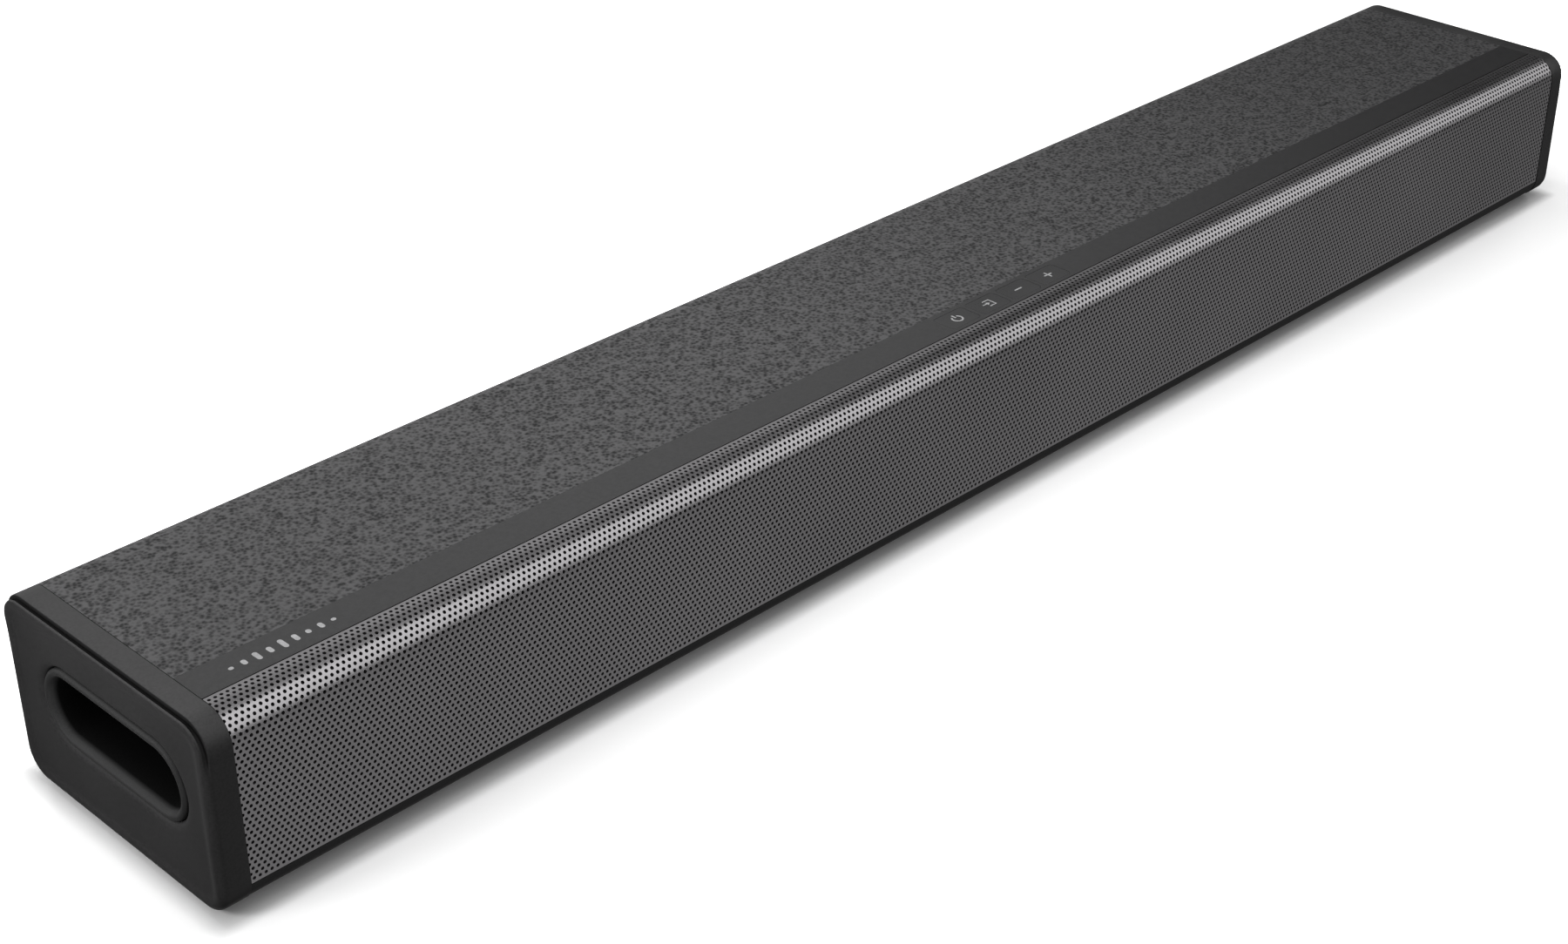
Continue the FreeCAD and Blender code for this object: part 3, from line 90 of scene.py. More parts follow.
def make_np(name, co_mm, quads, polys, mat, body, sharp):
    """Like make(), for large meshes whose faces already point outwards."""
    flat = quads.reshape(-1).tolist() if len(quads) == 0 else quads.reshape(-1)
    extra = np.array([i for f in polys for i in f], np.int32)
    loops = np.concatenate([flat, extra]).astype(np.int32)
    starts = np.arange(len(quads)) * 4
    if len(polys):
        ln = np.array([len(f) for f in polys])
        starts = np.concatenate([starts, len(quads) * 4 + np.concatenate([[0], np.cumsum(ln)[:-1]])])
    me = bpy.data.meshes.new(name)
    me.vertices.add(len(co_mm))
    me.vertices.foreach_set("co", (co_mm * MM).astype(np.float32).ravel())
    me.loops.add(len(loops))
    me.loops.foreach_set("vertex_index", loops)
    me.polygons.add(len(starts))
    me.polygons.foreach_set("loop_start", starts.astype(np.int32))
    me.update(calc_edges=True)
    me.validate()
    me.shade_smooth()
    me.set_sharp_from_angle(angle=math.radians(sharp))
    me.materials.append(mat)
    o = bpy.data.objects.new(name, me)
    scene.collection.objects.link(o)
    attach(o, body)
    return o


def ring_faces(n_loops, n, closed):
    """Quads between neighbouring loops of n points each."""
    out = []
    for a in range(n_loops if closed else n_loops - 1):
        b = (a + 1) % n_loops
        for i in range(n):
            j = (i + 1) % n
            out.append((a * n + i, a * n + j, b * n + j, b * n + i))
    return out


def d_rrect(p, cx, cy, hx, hy, r):
    q = np.abs(p - np.array([cx, cy])) - np.array([hx - r, hy - r])
    return np.linalg.norm(np.maximum(q, 0), axis=1) + np.minimum(q.max(1), 0) - r


def d_slot(p, cx, cy, s, r):
    q = p - np.array([cx, cy])
    q[:, 0] -= np.clip(q[:, 0], -s, s)
    return np.linalg.norm(q, axis=1) - r


def outline(c, n, dist, far=90.0, phase=0.0):
    """n points of a closed outline, found along rays from c."""
    t = np.arange(n) / n * 2 * math.pi + phase
    d = np.stack([np.cos(t), np.sin(t)], 1)
    lo, hi = np.zeros(n), np.full(n, far)
    for _ in range(44):
        m = (lo + hi) / 2
        inside = dist(np.array(c) + d * m[:, None]) < 0
        lo, hi = np.where(inside, m, lo), np.where(inside, hi, m)
    return np.array(c) + d * lo[:, None]


# ------------------------------------------------------------------ material helpers
def material(name):
    m = bpy.data.materials.new(name)
    m.use_nodes = True
    nt = m.node_tree
    return m, nt, nt.nodes["Principled BSDF"] if "Principled BSDF" in nt.nodes else nt.nodes.new("ShaderNodeBsdfPrincipled")


def link(nt, a, b):
    nt.links.new(a, b)


def math_node(nt, op, a, b=None, c=None, clamp=False):
    n = nt.nodes.new("ShaderNodeMath")
    n.operation = op
    n.use_clamp = clamp
    for i, v in enumerate((a, b, c)):
        if v is None:
            continue
        if isinstance(v, (int, float)):
            n.inputs[i].default_value = v
        else:
            link(nt, v, n.inputs[i])
    return n.outputs[0]


def span(nt, v, a, b, lo, hi):
    n = nt.nodes.new("ShaderNodeMapRange")
    link(nt, v, n.inputs["Value"])
    n.inputs["From Min"].default_value = a
    n.inputs["From Max"].default_value = b
    n.inputs["To Min"].default_value = lo
    n.inputs["To Max"].default_value = hi
    return n.outputs["Result"]


def mix_col(nt, f, a, b):
    n = nt.nodes.new("ShaderNodeMix")
    n.data_type = "RGBA"
    if isinstance(f, (int, float)):
        n.inputs[0].default_value = f
    else:
        link(nt, f, n.inputs[0])
    for i, v in ((6, a), (7, b)):
        if isinstance(v, tuple):
            n.inputs[i].default_value = (*v, 1.0)
        else:
            link(nt, v, n.inputs[i])
    return n.outputs[2]


def coords(nt, scale=(1, 1, 1)):
    t = nt.nodes.new("ShaderNodeTexCoord")
    m = nt.nodes.new("ShaderNodeMapping")
    m.inputs["Scale"].default_value = scale
    link(nt, t.outputs["Object"], m.inputs["Vector"])
    return m.outputs["Vector"]


def noise(nt, vec, scale, detail=3.0, rough=0.55):
    n = nt.nodes.new("ShaderNodeTexNoise")
    link(nt, vec, n.inputs["Vector"])
    n.inputs["Scale"].default_value = scale
    n.inputs["Detail"].default_value = detail
    n.inputs["Roughness"].default_value = rough
    return n.outputs["Fac"]


def voronoi(nt, vec, scale, feature="F1"):
    n = nt.nodes.new("ShaderNodeTexVoronoi")
    n.feature = feature
    link(nt, vec, n.inputs["Vector"])
    n.inputs["Scale"].default_value = scale
    return n.outputs["Distance"]


def bump(nt, bsdf, height, strength, dist_mm):
    n = nt.nodes.new("ShaderNodeBump")
    n.inputs["Strength"].default_value = strength
    n.inputs["Distance"].default_value = dist_mm * MM
    link(nt, height, n.inputs["Height"])
    link(nt, n.outputs["Normal"], bsdf.inputs["Normal"])


def lit(c, k):
    return tuple(min(1.0, v * k) for v in c)


def plain(name, col, rough, metal=0.0, spec=0.5, var=0.14, vscale=22.0, grain=1500.0, gvar=0.10, rvar=0.07, bs=0.25, bd=0.05, stretch=(1, 1, 1), coat=0.0):
    """Moulded, painted or metal surface: slow tone drift, fine grain, uneven gloss, fine relief."""
    m, nt, b = material(name)
    v = coords(nt, stretch)
    slow = noise(nt, v, vscale, 2.0)
    fine = noise(nt, v, grain, 2.0, 0.6)
    c1 = mix_col(nt, span(nt, slow, 0.3, 0.7, 0.0, 1.0), lit(col, 1 - var), lit(col, 1 + var))
    c2 = mix_col(nt, span(nt, slow, 0.3, 0.7, 0.0, 1.0), lit(col, (1 - var) * (1 + gvar * 2)), lit(col, (1 + var) * (1 + gvar * 2)))
    link(nt, mix_col(nt, span(nt, fine, 0.35, 0.65, 0.0, 1.0), c1, c2), b.inputs["Base Color"])
    r = math_node(nt, "ADD", span(nt, fine, 0.3, 0.7, -rvar, rvar), span(nt, slow, 0.3, 0.7, rough - rvar * 0.6, rough + rvar * 0.6), clamp=True)
    link(nt, r, b.inputs["Roughness"])
    b.inputs["Metallic"].default_value = metal
    b.inputs["Specular IOR Level"].default_value = spec
    if coat:
        b.inputs["Coat Weight"].default_value = coat
        b.inputs["Coat Roughness"].default_value = 0.15
    bump(nt, b, fine, bs, bd)
    return m


def woven(name, col, rough, pitch_mm, sheen=0.3, axes=("x", "z"), depth=0.12):
    """Plain weave: two crossed sets of threads."""
    m, nt, b = material(name)
    v = coords(nt)
    s = nt.nodes.new("ShaderNodeSeparateXYZ")
    link(nt, v, s.inputs[0])
    k = math.pi / (pitch_mm * MM)
    w = [math_node(nt, "ABSOLUTE", math_node(nt, "SINE", math_node(nt, "MULTIPLY", s.outputs["xyz".index(a)], k))) for a in axes]
    h = math_node(nt, "MAXIMUM", w[0], w[1])
    n = noise(nt, v, 400.0, 3.0)
    f = math_node(nt, "MULTIPLY", h, span(nt, n, 0.3, 0.7, 0.65, 1.0))
    link(nt, mix_col(nt, f, lit(col, 0.45), lit(col, 1.25)), b.inputs["Base Color"])
    link(nt, span(nt, n, 0.3, 0.7, rough - 0.06, rough + 0.06), b.inputs["Roughness"])
    b.inputs["Sheen Weight"].default_value = sheen
    b.inputs["Specular IOR Level"].default_value = 0.3
    bump(nt, b, h, 0.6, depth)
    return m


def board(name, col):
    """Solder mask over copper tracks, with bare pads."""
    m, nt, b = material(name)
    v = coords(nt)
    br = nt.nodes.new("ShaderNodeTexBrick")
    link(nt, v, br.inputs["Vector"])
    br.inputs["Scale"].default_value = 260.0
    br.inputs["Mortar Size"].default_value = 0.035
    br.inputs["Color1"].default_value = (0, 0, 0, 1)
    br.inputs["Color2"].default_value = (0.25, 0.25, 0.25, 1)
    br.inputs["Mortar"].default_value = (1, 1, 1, 1)
    pads = span(nt, voronoi(nt, v, 230.0), 0.10, 0.14, 1.0, 0.0)
    n = noise(nt, v, 60.0, 3.0)
    c = mix_col(nt, br.outputs["Color"], lit(col, 0.8), lit(col, 1.7))
    c = mix_col(nt, span(nt, n, 0.35, 0.7, 0.0, 0.5), c, lit(col, 1.2))
    c = mix_col(nt, pads, c, (0.62, 0.58, 0.5))
    link(nt, c, b.inputs["Base Color"])
    link(nt, span(nt, n, 0.3, 0.7, 0.28, 0.42), b.inputs["Roughness"])
    bump(nt, b, br.outputs["Color"], 0.3, 0.04)
    return m


def brushed(name, col, rough, axis=0, grain=500.0):
    stretch = [1.0, 1.0, 1.0]
    stretch[axis] = 0.04
    return plain(name, col, rough, metal=1.0, var=0.08, grain=grain, gvar=0.06, rvar=0.06, bs=0.2, bd=0.03, stretch=tuple(stretch))


# textured cover with a smooth strip along its front
def cover_material():
    m, nt, b = material("cover_grain")
    v = coords(nt)
    s = nt.nodes.new("ShaderNodeSeparateXYZ")
    link(nt, v, s.inputs[0])
    tex = span(nt, s.outputs["Y"], -0.02256, -0.02244, 0.0, 1.0)
    cell = voronoi(nt, v, 760.0)
    n1 = noise(nt, v, 1500.0, 3.0, 0.6)
    n2 = noise(nt, v, 400.0, 2.0, 0.60)
    slow = noise(nt, v, 9.0, 2.0)
    g = math_node(nt, "ADD", math_node(nt, "MULTIPLY", span(nt, cell, 0.0, 0.9, 0.0, 1.0), 0.42), math_node(nt, "MULTIPLY", n1, 0.22))
    g = math_node(nt, "ADD", g, math_node(nt, "MULTIPLY", n2, 0.50))
    gc = mix_col(nt, span(nt, g, 0.42, 0.70, 0.0, 1.0), (0.012, 0.012, 0.0125), (0.098, 0.097, 0.099))
    gc = mix_col(nt, span(nt, slow, 0.3, 0.7, 0.0, 0.12), gc, (0.046, 0.0455, 0.0465))
    f = math_node(nt, "ADD", math_node(nt, "MULTIPLY", noise(nt, v, 2600.0, 2.0, 0.6), 0.5), math_node(nt, "MULTIPLY", noise(nt, v, 700.0, 2.0, 0.6), 0.5))
    sc = mix_col(nt, span(nt, f, 0.38, 0.62, 0.0, 1.0), (0.033, 0.033, 0.0335), (0.048, 0.0475, 0.0485))
    sc = mix_col(nt, span(nt, slow, 0.3, 0.7, 0.0, 0.35), sc, (0.037, 0.0368, 0.0375))
    link(nt, mix_col(nt, tex, sc, gc), b.inputs["Base Color"])
    rs = span(nt, f, 0.3, 0.7, 0.30, 0.37)
    rt = span(nt, g, 0.35, 0.75, 0.60, 0.48)
    r = math_node(nt, "ADD", math_node(nt, "MULTIPLY", rs, math_node(nt, "SUBTRACT", 1.0, tex)), math_node(nt, "MULTIPLY", rt, tex))
    link(nt, r, b.inputs["Roughness"])
    b.inputs["Specular IOR Level"].default_value = 0.34
    h = math_node(nt, "ADD", math_node(nt, "MULTIPLY", g, math_node(nt, "MULTIPLY", tex, 1.0)), math_node(nt, "MULTIPLY", f, 0.06))
    bump(nt, b, h, 0.65, 0.26)
    return m


M = {}
M["shell_plastic"] = cover_material()
M["cap_plastic"] = plain("cap_satin", (0.043, 0.0425, 0.043), 0.46, grain=1300, gvar=0.16, bs=0.30, bd=0.06, spec=0.24)


def cap_shadow(m):
    """Painted shade: the floor of the groove round the end plate is painted near-black along the top, standing in for
    the shade in the groove.
    """
    nt = m.node_tree
    b = nt.nodes["Principled BSDF"]
    s = nt.nodes.new("ShaderNodeSeparateXYZ")
    link(nt, coords(nt), s.inputs[0])
    x = math_node(nt, "ABSOLUTE", s.outputs["X"])
    # painted shade: mask of the groove floor, top edge only, mixed to near-black below
    k = math_node(nt, "MULTIPLY", span(nt, x, 0.32305, 0.32322, 0.0, 1.0), span(nt, x, 0.32428, 0.32440, 1.0, 0.0))
    k = math_node(nt, "MULTIPLY", k, span(nt, s.outputs["Z"], 0.050, 0.058, 0.0, 1.0))
    old = b.inputs["Base Color"].links[0].from_socket
    link(nt, mix_col(nt, k, old, (0.003, 0.003, 0.003)), b.inputs["Base Color"])


cap_shadow(M["cap_plastic"])
M["case_plastic"] = plain("case_black", (0.012, 0.012, 0.0125), 0.55, grain=1400, bs=0.3, bd=0.06, spec=0.4)
M["rear_plastic"] = plain("rear_black", (0.022, 0.022, 0.0225), 0.5, grain=1100, bs=0.35, bd=0.08)
def port_material():
    """Satin lip; the duct behind it is painted near-black, a painted shade standing in for the shade deep inside it."""
    m, nt, b = material("port_black_with_painted_shade")
    v = coords(nt)
    s = nt.nodes.new("ShaderNodeSeparateXYZ")
    link(nt, v, s.inputs[0])
    # painted shade: the duct deeper than the lip is painted near-black
    painted_duct_shade_mask = span(nt, math_node(nt, "ABSOLUTE", s.outputs["X"]), 0.3219, 0.3233, 1.0, 0.0)
    n = noise(nt, v, 1800.0, 2.0, 0.6)
    slow = noise(nt, v, 60.0, 2.0)
    c = mix_col(nt, span(nt, n, 0.35, 0.65, 0.0, 1.0), (0.046, 0.046, 0.0465), (0.058, 0.058, 0.0585))
    c = mix_col(nt, span(nt, slow, 0.3, 0.7, 0.0, 0.3), c, (0.044, 0.044, 0.044))
    link(nt, mix_col(nt, painted_duct_shade_mask, c, (0.0015, 0.0015, 0.0015)), b.inputs["Base Color"])
    link(nt, math_node(nt, "ADD", span(nt, n, 0.3, 0.7, 0.38, 0.5), math_node(nt, "MULTIPLY", painted_duct_shade_mask, 0.45)), b.inputs["Roughness"])
    b.inputs["Specular IOR Level"].default_value = 0.3
    bump(nt, b, n, 0.22, 0.04)
    return m


M["port_plastic"] = port_material()
M["grille_metal"] = plain("grille_powder", (0.345, 0.336, 0.345), 0.33, metal=0.95, var=0.05, grain=3200, gvar=0.08, rvar=0.05, bs=0.25, bd=0.03, vscale=14)
M["scrim_cloth"] = woven("scrim_weave", (0.010, 0.010, 0.010), 0.85, 0.5)
M["baffle_plastic"] = plain("baffle_black", (0.012, 0.012, 0.012), 0.6, bs=0.3)
M["cup_plastic"] = plain("cup_black", (0.028, 0.028, 0.028), 0.55, bs=0.3, bd=0.07)
M["key_plastic"] = plain("key_satin", (0.038, 0.0378, 0.0385), 0.33, grain=2600, gvar=0.10, bs=0.2, bd=0.02, spec=0.34, rvar=0.04)
M["basket_steel"] = plain("basket_paint", (0.018, 0.018, 0.018), 0.4, metal=0.2, bs=0.25, bd=0.05)
M["ferrite"] = plain("ferrite_grain", (0.07, 0.07, 0.075), 0.62, grain=900, gvar=0.2, bs=0.45, bd=0.1)
M["motor_steel"] = brushed("motor_zinc", (0.55, 0.55, 0.52), 0.34)
M["cone_paper"] = plain("cone_pulp", (0.045, 0.043, 0.040), 0.75, grain=700, gvar=0.22, bs=0.5, bd=0.12, var=0.2, vscale=60)
M["surround_rubber"] = plain("surround_butyl", (0.018, 0.018, 0.018), 0.58, grain=1000, bs=0.2, bd=0.04)
M["spider_cloth"] = woven("spider_weave", (0.40, 0.26, 0.10), 0.7, 0.8)
M["gasket_foam"] = plain("gasket_cells", (0.025, 0.025, 0.025), 0.9, grain=1600, gvar=0.35, bs=0.7, bd=0.2)
M["circuit_board"] = board("board_mask", (0.02, 0.15, 0.06))
M["switch_body"] = plain("switch_black", (0.025, 0.025, 0.025), 0.45)
M["sink_metal"] = brushed("sink_extrusion", (0.58, 0.58, 0.6), 0.38, axis=1)
M["shield_tin"] = brushed("shield_can", (0.62, 0.61, 0.58), 0.3)
M["winding_tape"] = plain("tape_yellow", (0.72, 0.5, 0.06), 0.42, var=0.1, vscale=90, grain=700)
M["can_sleeve"] = plain("sleeve_dark", (0.028, 0.035, 0.085), 0.32, coat=0.3)
M["socket_shell"] = brushed("socket_nickel", (0.68, 0.67, 0.64), 0.26, axis=0, grain=900)
M["socket_plastic"] = plain("socket_black", (0.018, 0.018, 0.018), 0.42)
M["pin_metal"] = brushed("pin_nickel", (0.7, 0.69, 0.66), 0.22, axis=1)
M["wire_sleeve"] = plain("wire_red", (0.33, 0.018, 0.018), 0.42, var=0.1)
M["screw_steel"] = plain("screw_black", (0.10, 0.10, 0.105), 0.34, metal=0.9, grain=1500, bs=0.3)
M["insert_brass"] = brushed("insert_turned", (0.72, 0.5, 0.2), 0.3, axis=1)
M["foot_rubber"] = plain("foot_matt", (0.022, 0.022, 0.022), 0.8, grain=900, gvar=0.2, bs=0.4, bd=0.08)
M["label_film"] = plain("label_silver", (0.36, 0.36, 0.37), 0.38, metal=0.4, grain=2200, gvar=0.05)
M["print_grey"] = plain("print_grey", (0.36, 0.36, 0.365), 0.45, grain=2500, gvar=0.12, var=0.1, vscale=300, bs=0.15, bd=0.02)

for sub in frame["record"]["subparts"]:
    o = nodes[sub["node"]]
    o.data.materials.clear()
    o.data.materials.append(M[sub["material_slot"]])
    o.data.shade_smooth()
    o.data.set_sharp_from_angle(angle=math.radians(32))


# ------------------------------------------------------------------ perforated grille
def grille():
    lo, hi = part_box("speaker_grille")
    x0, x1 = lo.x * 1000, hi.x * 1000
    ztop, zbot = hi.z * 1000, lo.z * 1000
    yfront, yback = lo.y * 1000, hi.y * 1000
    R, T = 9.0, 0.8
    yc, zc = yfront + R, ztop - R
    flat = yback - yc
    arc = R * math.pi / 2
    S = flat + arc + (zc - zbot)
    P, HR = 1.83, 0.525
    n = int(round((x1 - x0 - 0.1) / P - 0.5))
    P = (x1 - x0 - 0.1) / (n + 0.5)
    ROW = P * math.sin(math.pi / 3)
    rows = int((S - 0.9) // ROW)
    s0 = (S - (rows - 1) * ROW) / 2
    u0 = x0 + ((x1 - x0) - (n * P + P / 2)) / 2 + P / 2
    ang = np.arange(12) * math.pi / 6
    rad = np.where(np.arange(12) % 2 == 0, P / 2, P / math.sqrt(3))
    hole = np.stack([np.cos(ang), np.sin(ang)], 1) * HR
    edge = np.stack([np.cos(ang), np.sin(ang)], 1) * rad[:, None]
    left_edge, right_edge = u0 - P / 2, u0 + n * P

    def snap(p, row):
        p = p.copy()
        if row == 0:
            p[p[:, 1] < s0 - 0.4, 1] = 0.0
        if row == rows - 1:
            p[p[:, 1] > s0 + (rows - 1) * ROW + 0.4, 1] = S
        p[np.abs(p[:, 0] - left_edge) < 1e-3, 0] = x0
        p[np.abs(p[:, 0] - right_edge) < 1e-3, 0] = x1
        return p

    def surf(p):
        u, s = p[:, 0], p[:, 1]
        a = np.clip((s - flat) / R, 0, math.pi / 2)
        y = np.where(s < flat, yback - s, yc - R * np.sin(a))
        z = np.where(s < flat, ztop, zc + R * np.cos(a)) - np.maximum(s - flat - arc, 0)
        nrm = np.stack([np.zeros_like(u), -np.sin(a), np.cos(a)], 1)
        return np.stack([u, y, z], 1), nrm

    parts = 6
    cuts = [round(i * n / parts) for i in range(parts + 1)]
    i12 = np.arange(12)
    cell = np.stack([i12, 12 + i12, 12 + (i12 + 1) % 12, (i12 + 1) % 12], 1)
    out = []
    for k in range(parts):
        cols = np.arange(cuts[k], cuts[k + 1])
        blocks, ends = [], []
        for r in range(rows):
            odd = r % 2
            cy = s0 + r * ROW
            cx = u0 + cols * P + (P / 2 if odd else 0)
            c = np.stack([cx, np.full(len(cx), cy)], 1)[:, None, :]
            h = hole[None] + c
            e = snap((edge[None] + c).reshape(-1, 2), r).reshape(-1, 12, 2)
            blocks.append(np.concatenate([h, e], 1))
            # half cells that straighten the two ends of the sheet
            side = -1 if (odd and k == 0) else (1 if (not odd and k == parts - 1) else 0)
            if side:
                pick = [9, 10, 11, 0, 1, 2, 3] if side < 0 else [3, 4, 5, 6, 7, 8, 9]
                ex = u0 - P / 2 if side < 0 else u0 + n * P
                h = snap(np.concatenate([hole[pick], edge[pick]]) + (ex, cy), r)
                h[np.abs(h[:, 0] - ex) < 1e-3, 0] = x0 if side < 0 else x1
                ends.append(h)
        pts = np.concatenate(blocks).reshape(-1, 2)
        ncell = len(pts) // 24
        quads = (np.arange(ncell)[:, None, None] * 24 + cell[None]).reshape(-1, 4)
        polys, at = [], len(pts)
        for h in ends:
            polys += [[at + i, at + 7 + i, at + 8 + i, at + i + 1] for i in range(6)]
            at += len(h)
        allp = np.concatenate([pts] + ends) if ends else pts
        _, first, inv = np.unique(np.round(allp, 3), axis=0, return_index=True, return_inverse=True)
        inv = inv.ravel()
        quads = inv[quads]
        tidy = []
        for f in polys:
            g = [int(inv[i]) for i in f]
            g = [v for i, v in enumerate(g) if v != g[i - 1]]
            if len(set(g)) >= 3:
                tidy.append(g)
        P3, N3 = surf(allp[first])
        nv = len(P3)
        a = quads.reshape(-1)
        b = np.roll(quads, -1, axis=1).reshape(-1)
        for g in tidy:
            a = np.concatenate([a, g])
            b = np.concatenate([b, g[1:] + g[:1]])
        fwd, rev = a.astype(np.int64) * nv + b, b.astype(np.int64) * nv + a
        open_edge = ~np.isin(fwd, rev)
        a, b = a[open_edge], b[open_edge]
        wall = np.stack([a, b, b + nv, a + nv], 1)
        # counter-clockwise in (u, s) faces inwards, so the outer layer is turned over
        Q = np.concatenate([quads[:, ::-1], quads + nv, wall])
        polys = [g[::-1] for g in tidy] + [[v + nv for v in g] for g in tidy]
        out.append(make_np("grille_%d" % (k + 1), np.concatenate([P3, P3 - N3 * T]), Q, polys, M["grille_metal"], "housing", 38))
    return out


for o in grille():
    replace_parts(o, "speaker_grille")


# ------------------------------------------------------------------ end caps and port mouths
YC, ZC = -1.5, 34.0


def end_cap(name, sgn):
    N = 360

    def rr(inset):
        return outline((YC, ZC), N, lambda p: d_rrect(p, 0.0, 31.0, 47.5 - inset, 30.0 - inset, max(9.0 - inset, 0.6)))

    def st(r):
        return outline((YC, ZC), N, lambda p: d_slot(p, YC, ZC, 21.2, r))

    spec = [("s", 12.55, 322.0), ("r", 3.0, 322.0), ("r", 3.0, 316.0), ("r", 0.12, 316.0), ("r", 0.03, 316.04), ("r", 0.0, 316.14), ("r", 0.0, 319.0)]
    step = [(0.0, 322.75), (0.04, 322.95), (0.14, 323.08), (0.3, 323.15), (1.45, 323.2), (1.5, 323.8), (1.4, 324.2), (1.05, 324.34)]
    r0 = 0.55
    for i in range(8):
        a = math.radians(90 * i / 7)
        step.append((0.95 + r0 - r0 * math.cos(a), 325.0 - r0 + r0 * math.sin(a)))
    n_round = len(step)
    plain_edge = [(2.4 - 2.4 * math.cos(math.pi / 2 * i / (n_round - 1)), 322.6 + 2.4 * math.sin(math.pi / 2 * i / (n_round - 1))) for i in range(n_round)]
    tail = [("r", 2.6, 325.0), ("r", 3.1, 324.97), ("r", 3.7, 324.86), ("r", 4.5, 324.66), ("r", 5.2, 324.54), ("r", 6.0, 324.5)]
    tail += [("s", 15.9, 324.5), ("s", 14.9, 324.5), ("s", 14.1, 324.42), ("s", 13.4, 324.2), ("s", 12.9, 323.85), ("s", 12.62, 323.4), ("s", 12.55, 322.9)]

    def ring(kind, v, x):
        o = rr(v) if kind == "r" else st(v)
        return np.column_stack([np.full(N, sgn * x), o[:, 0], o[:, 1]])

    # the step runs along the top and fades into a plain rounding down the two upright edges
    t = np.clip((rr(0.0)[:, 1] - 45.0) / 12.0, 0.0, 1.0)
    w = (t * t * (3 - 2 * t))[:, None]
    loops = [ring(*q) for q in spec]
    for (va, xa), (vb, xb) in zip(step, plain_edge):
        loops.append(w * ring("r", va, xa) + (1 - w) * ring("r", vb, xb))
    loops += [ring(*q) for q in tail]
    o = make(name, np.concatenate(loops), ring_faces(len(loops), N, True), M["cap_plastic"], "housing", sharp=40)
    return o


def port(name, sgn):
    s = 21.2
    path = []
    for i in range(49):
        a = -math.pi / 2 + math.pi * i / 48
        path.append((s, 0.0, math.cos(a), math.sin(a)))
    for i in range(49):
        a = math.pi / 2 + math.pi * i / 48
        path.append((-s, 0.0, math.cos(a), math.sin(a)))
    path = np.array(path)
    prof = [(9.9, 234.02), (9.3, 234.2), (8.85, 234.65), (8.6, 235.3), (8.5, 236.2), (8.5, 250), (8.5, 270), (8.5, 290), (8.5, 306), (8.5, 315.5)]
    for i in range(1, 13):
        a = math.pi / 2 * i / 12
        prof.append((10.95 - 2.45 * math.cos(a), 317.2 + 7.5 * math.sin(a)))
    prof += [(11.35, 324.64), (11.7, 324.46), (12.0, 324.16), (12.2, 323.8), (12.3, 323.3), (12.3, 322.2), (12.3, 321.95), (15.2, 321.95), (15.3, 321.85), (15.3, 320.05), (10.5, 320.0), (10.5, 300), (10.5, 270), (10.5, 235.2), (10.4, 234.4), (10.2, 234.1)]
    loops = []
    for r, x in prof:
        loops.append(np.column_stack([np.full(len(path), sgn * x), YC + path[:, 0] + path[:, 2] * r, ZC + path[:, 1] + path[:, 3] * r]))
    return make(name, np.concatenate(loops), ring_faces(len(loops), len(path), True), M["port_plastic"], "housing", sharp=42)


for side, sgn in (("left", -1), ("right", 1)):
    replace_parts(end_cap("cap_" + side, sgn), "end_cap_" + side)
    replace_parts(port("port_" + side, sgn), "port_tube_" + side)


# ------------------------------------------------------------------ keys, feet, scrim
def key_piece(name, kx, body):
    N = 128
    c = (kx, -29.0)

    def rr(w, d, r):
        return outline(c, N, lambda p: d_rrect(p, c[0], c[1], w / 2, d / 2, r), far=30)

    def ci(r):
        t = np.arange(N) / N * 2 * math.pi
        return np.column_stack([c[0] + r * np.cos(t), c[1] + r * np.sin(t)])

    spec = [(ci(0.8), 60.97), (rr(8.0, 5.0, 1.6), 60.975), (rr(11.0, 7.0, 1.5), 60.99), (rr(12.9, 8.5, 1.35), 61.0), (rr(13.46, 9.06, 1.35), 61.0), (rr(13.56, 9.16, 1.38), 60.96), (rr(13.6, 9.2, 1.4), 60.88), (rr(13.6, 9.2, 1.4), 58.35)]
    spec += [(rr(14.6, 10.6, 1.6), 58.35), (rr(14.6, 10.6, 1.6), 57.45), (ci(1.2), 57.45), (ci(1.2), 55.35), (ci(1.0), 55.1)]
    co = np.concatenate([np.column_stack([p, np.full(N, z)]) for p, z in spec])
    F = ring_faces(len(spec), N, False)
    F.append(tuple(range(N)))
    F.append(tuple(range((len(spec) - 1) * N, len(spec) * N))[::-1])
    F = [f if i < len(F) - 2 else f[::-1] for i, f in enumerate(F)]
    return make(name, co, F, M["key_plastic"], body, sharp=30)


KEYS = [("key_power", -24.3), ("key_source", -9.1), ("key_volume_down", 6.1), ("key_volume_up", 21.3)]
for nm, kx in KEYS:
    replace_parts(key_piece(nm + "_cap", kx, nm), nm)


def prism(name, polys, z0, z1, mat, body):
    """Closed plates from simple outlines in X, Y; a ring is two outlines bridged."""
    co, F = [], []
    for outer, inner in polys:
        outer = np.asarray(outer, float)
        n = len(outer)
        b = sum(len(c) for c in co)
        if inner is None:
            co.append(np.column_stack([outer, np.full(n, z1)]))
            co.append(np.column_stack([outer, np.full(n, z0)]))
            F.append(tuple(range(b, b + n)))
            F.append(tuple(range(b + n, b + 2 * n))[::-1])
            F += [(b + i, b + n + i, b + n + (i + 1) % n, b + (i + 1) % n) for i in range(n)]
        else:
            inner = np.asarray(inner, float)
            ls = [(outer, z1), (outer, z0), (inner, z0), (inner, z1)]
            for p, z in ls:
                co.append(np.column_stack([p, np.full(n, z)]))
            F += [tuple(b + v for v in f) for f in ring_faces(4, n, True)]
    return make(name, np.concatenate(co), F, mat, body, sharp=30)


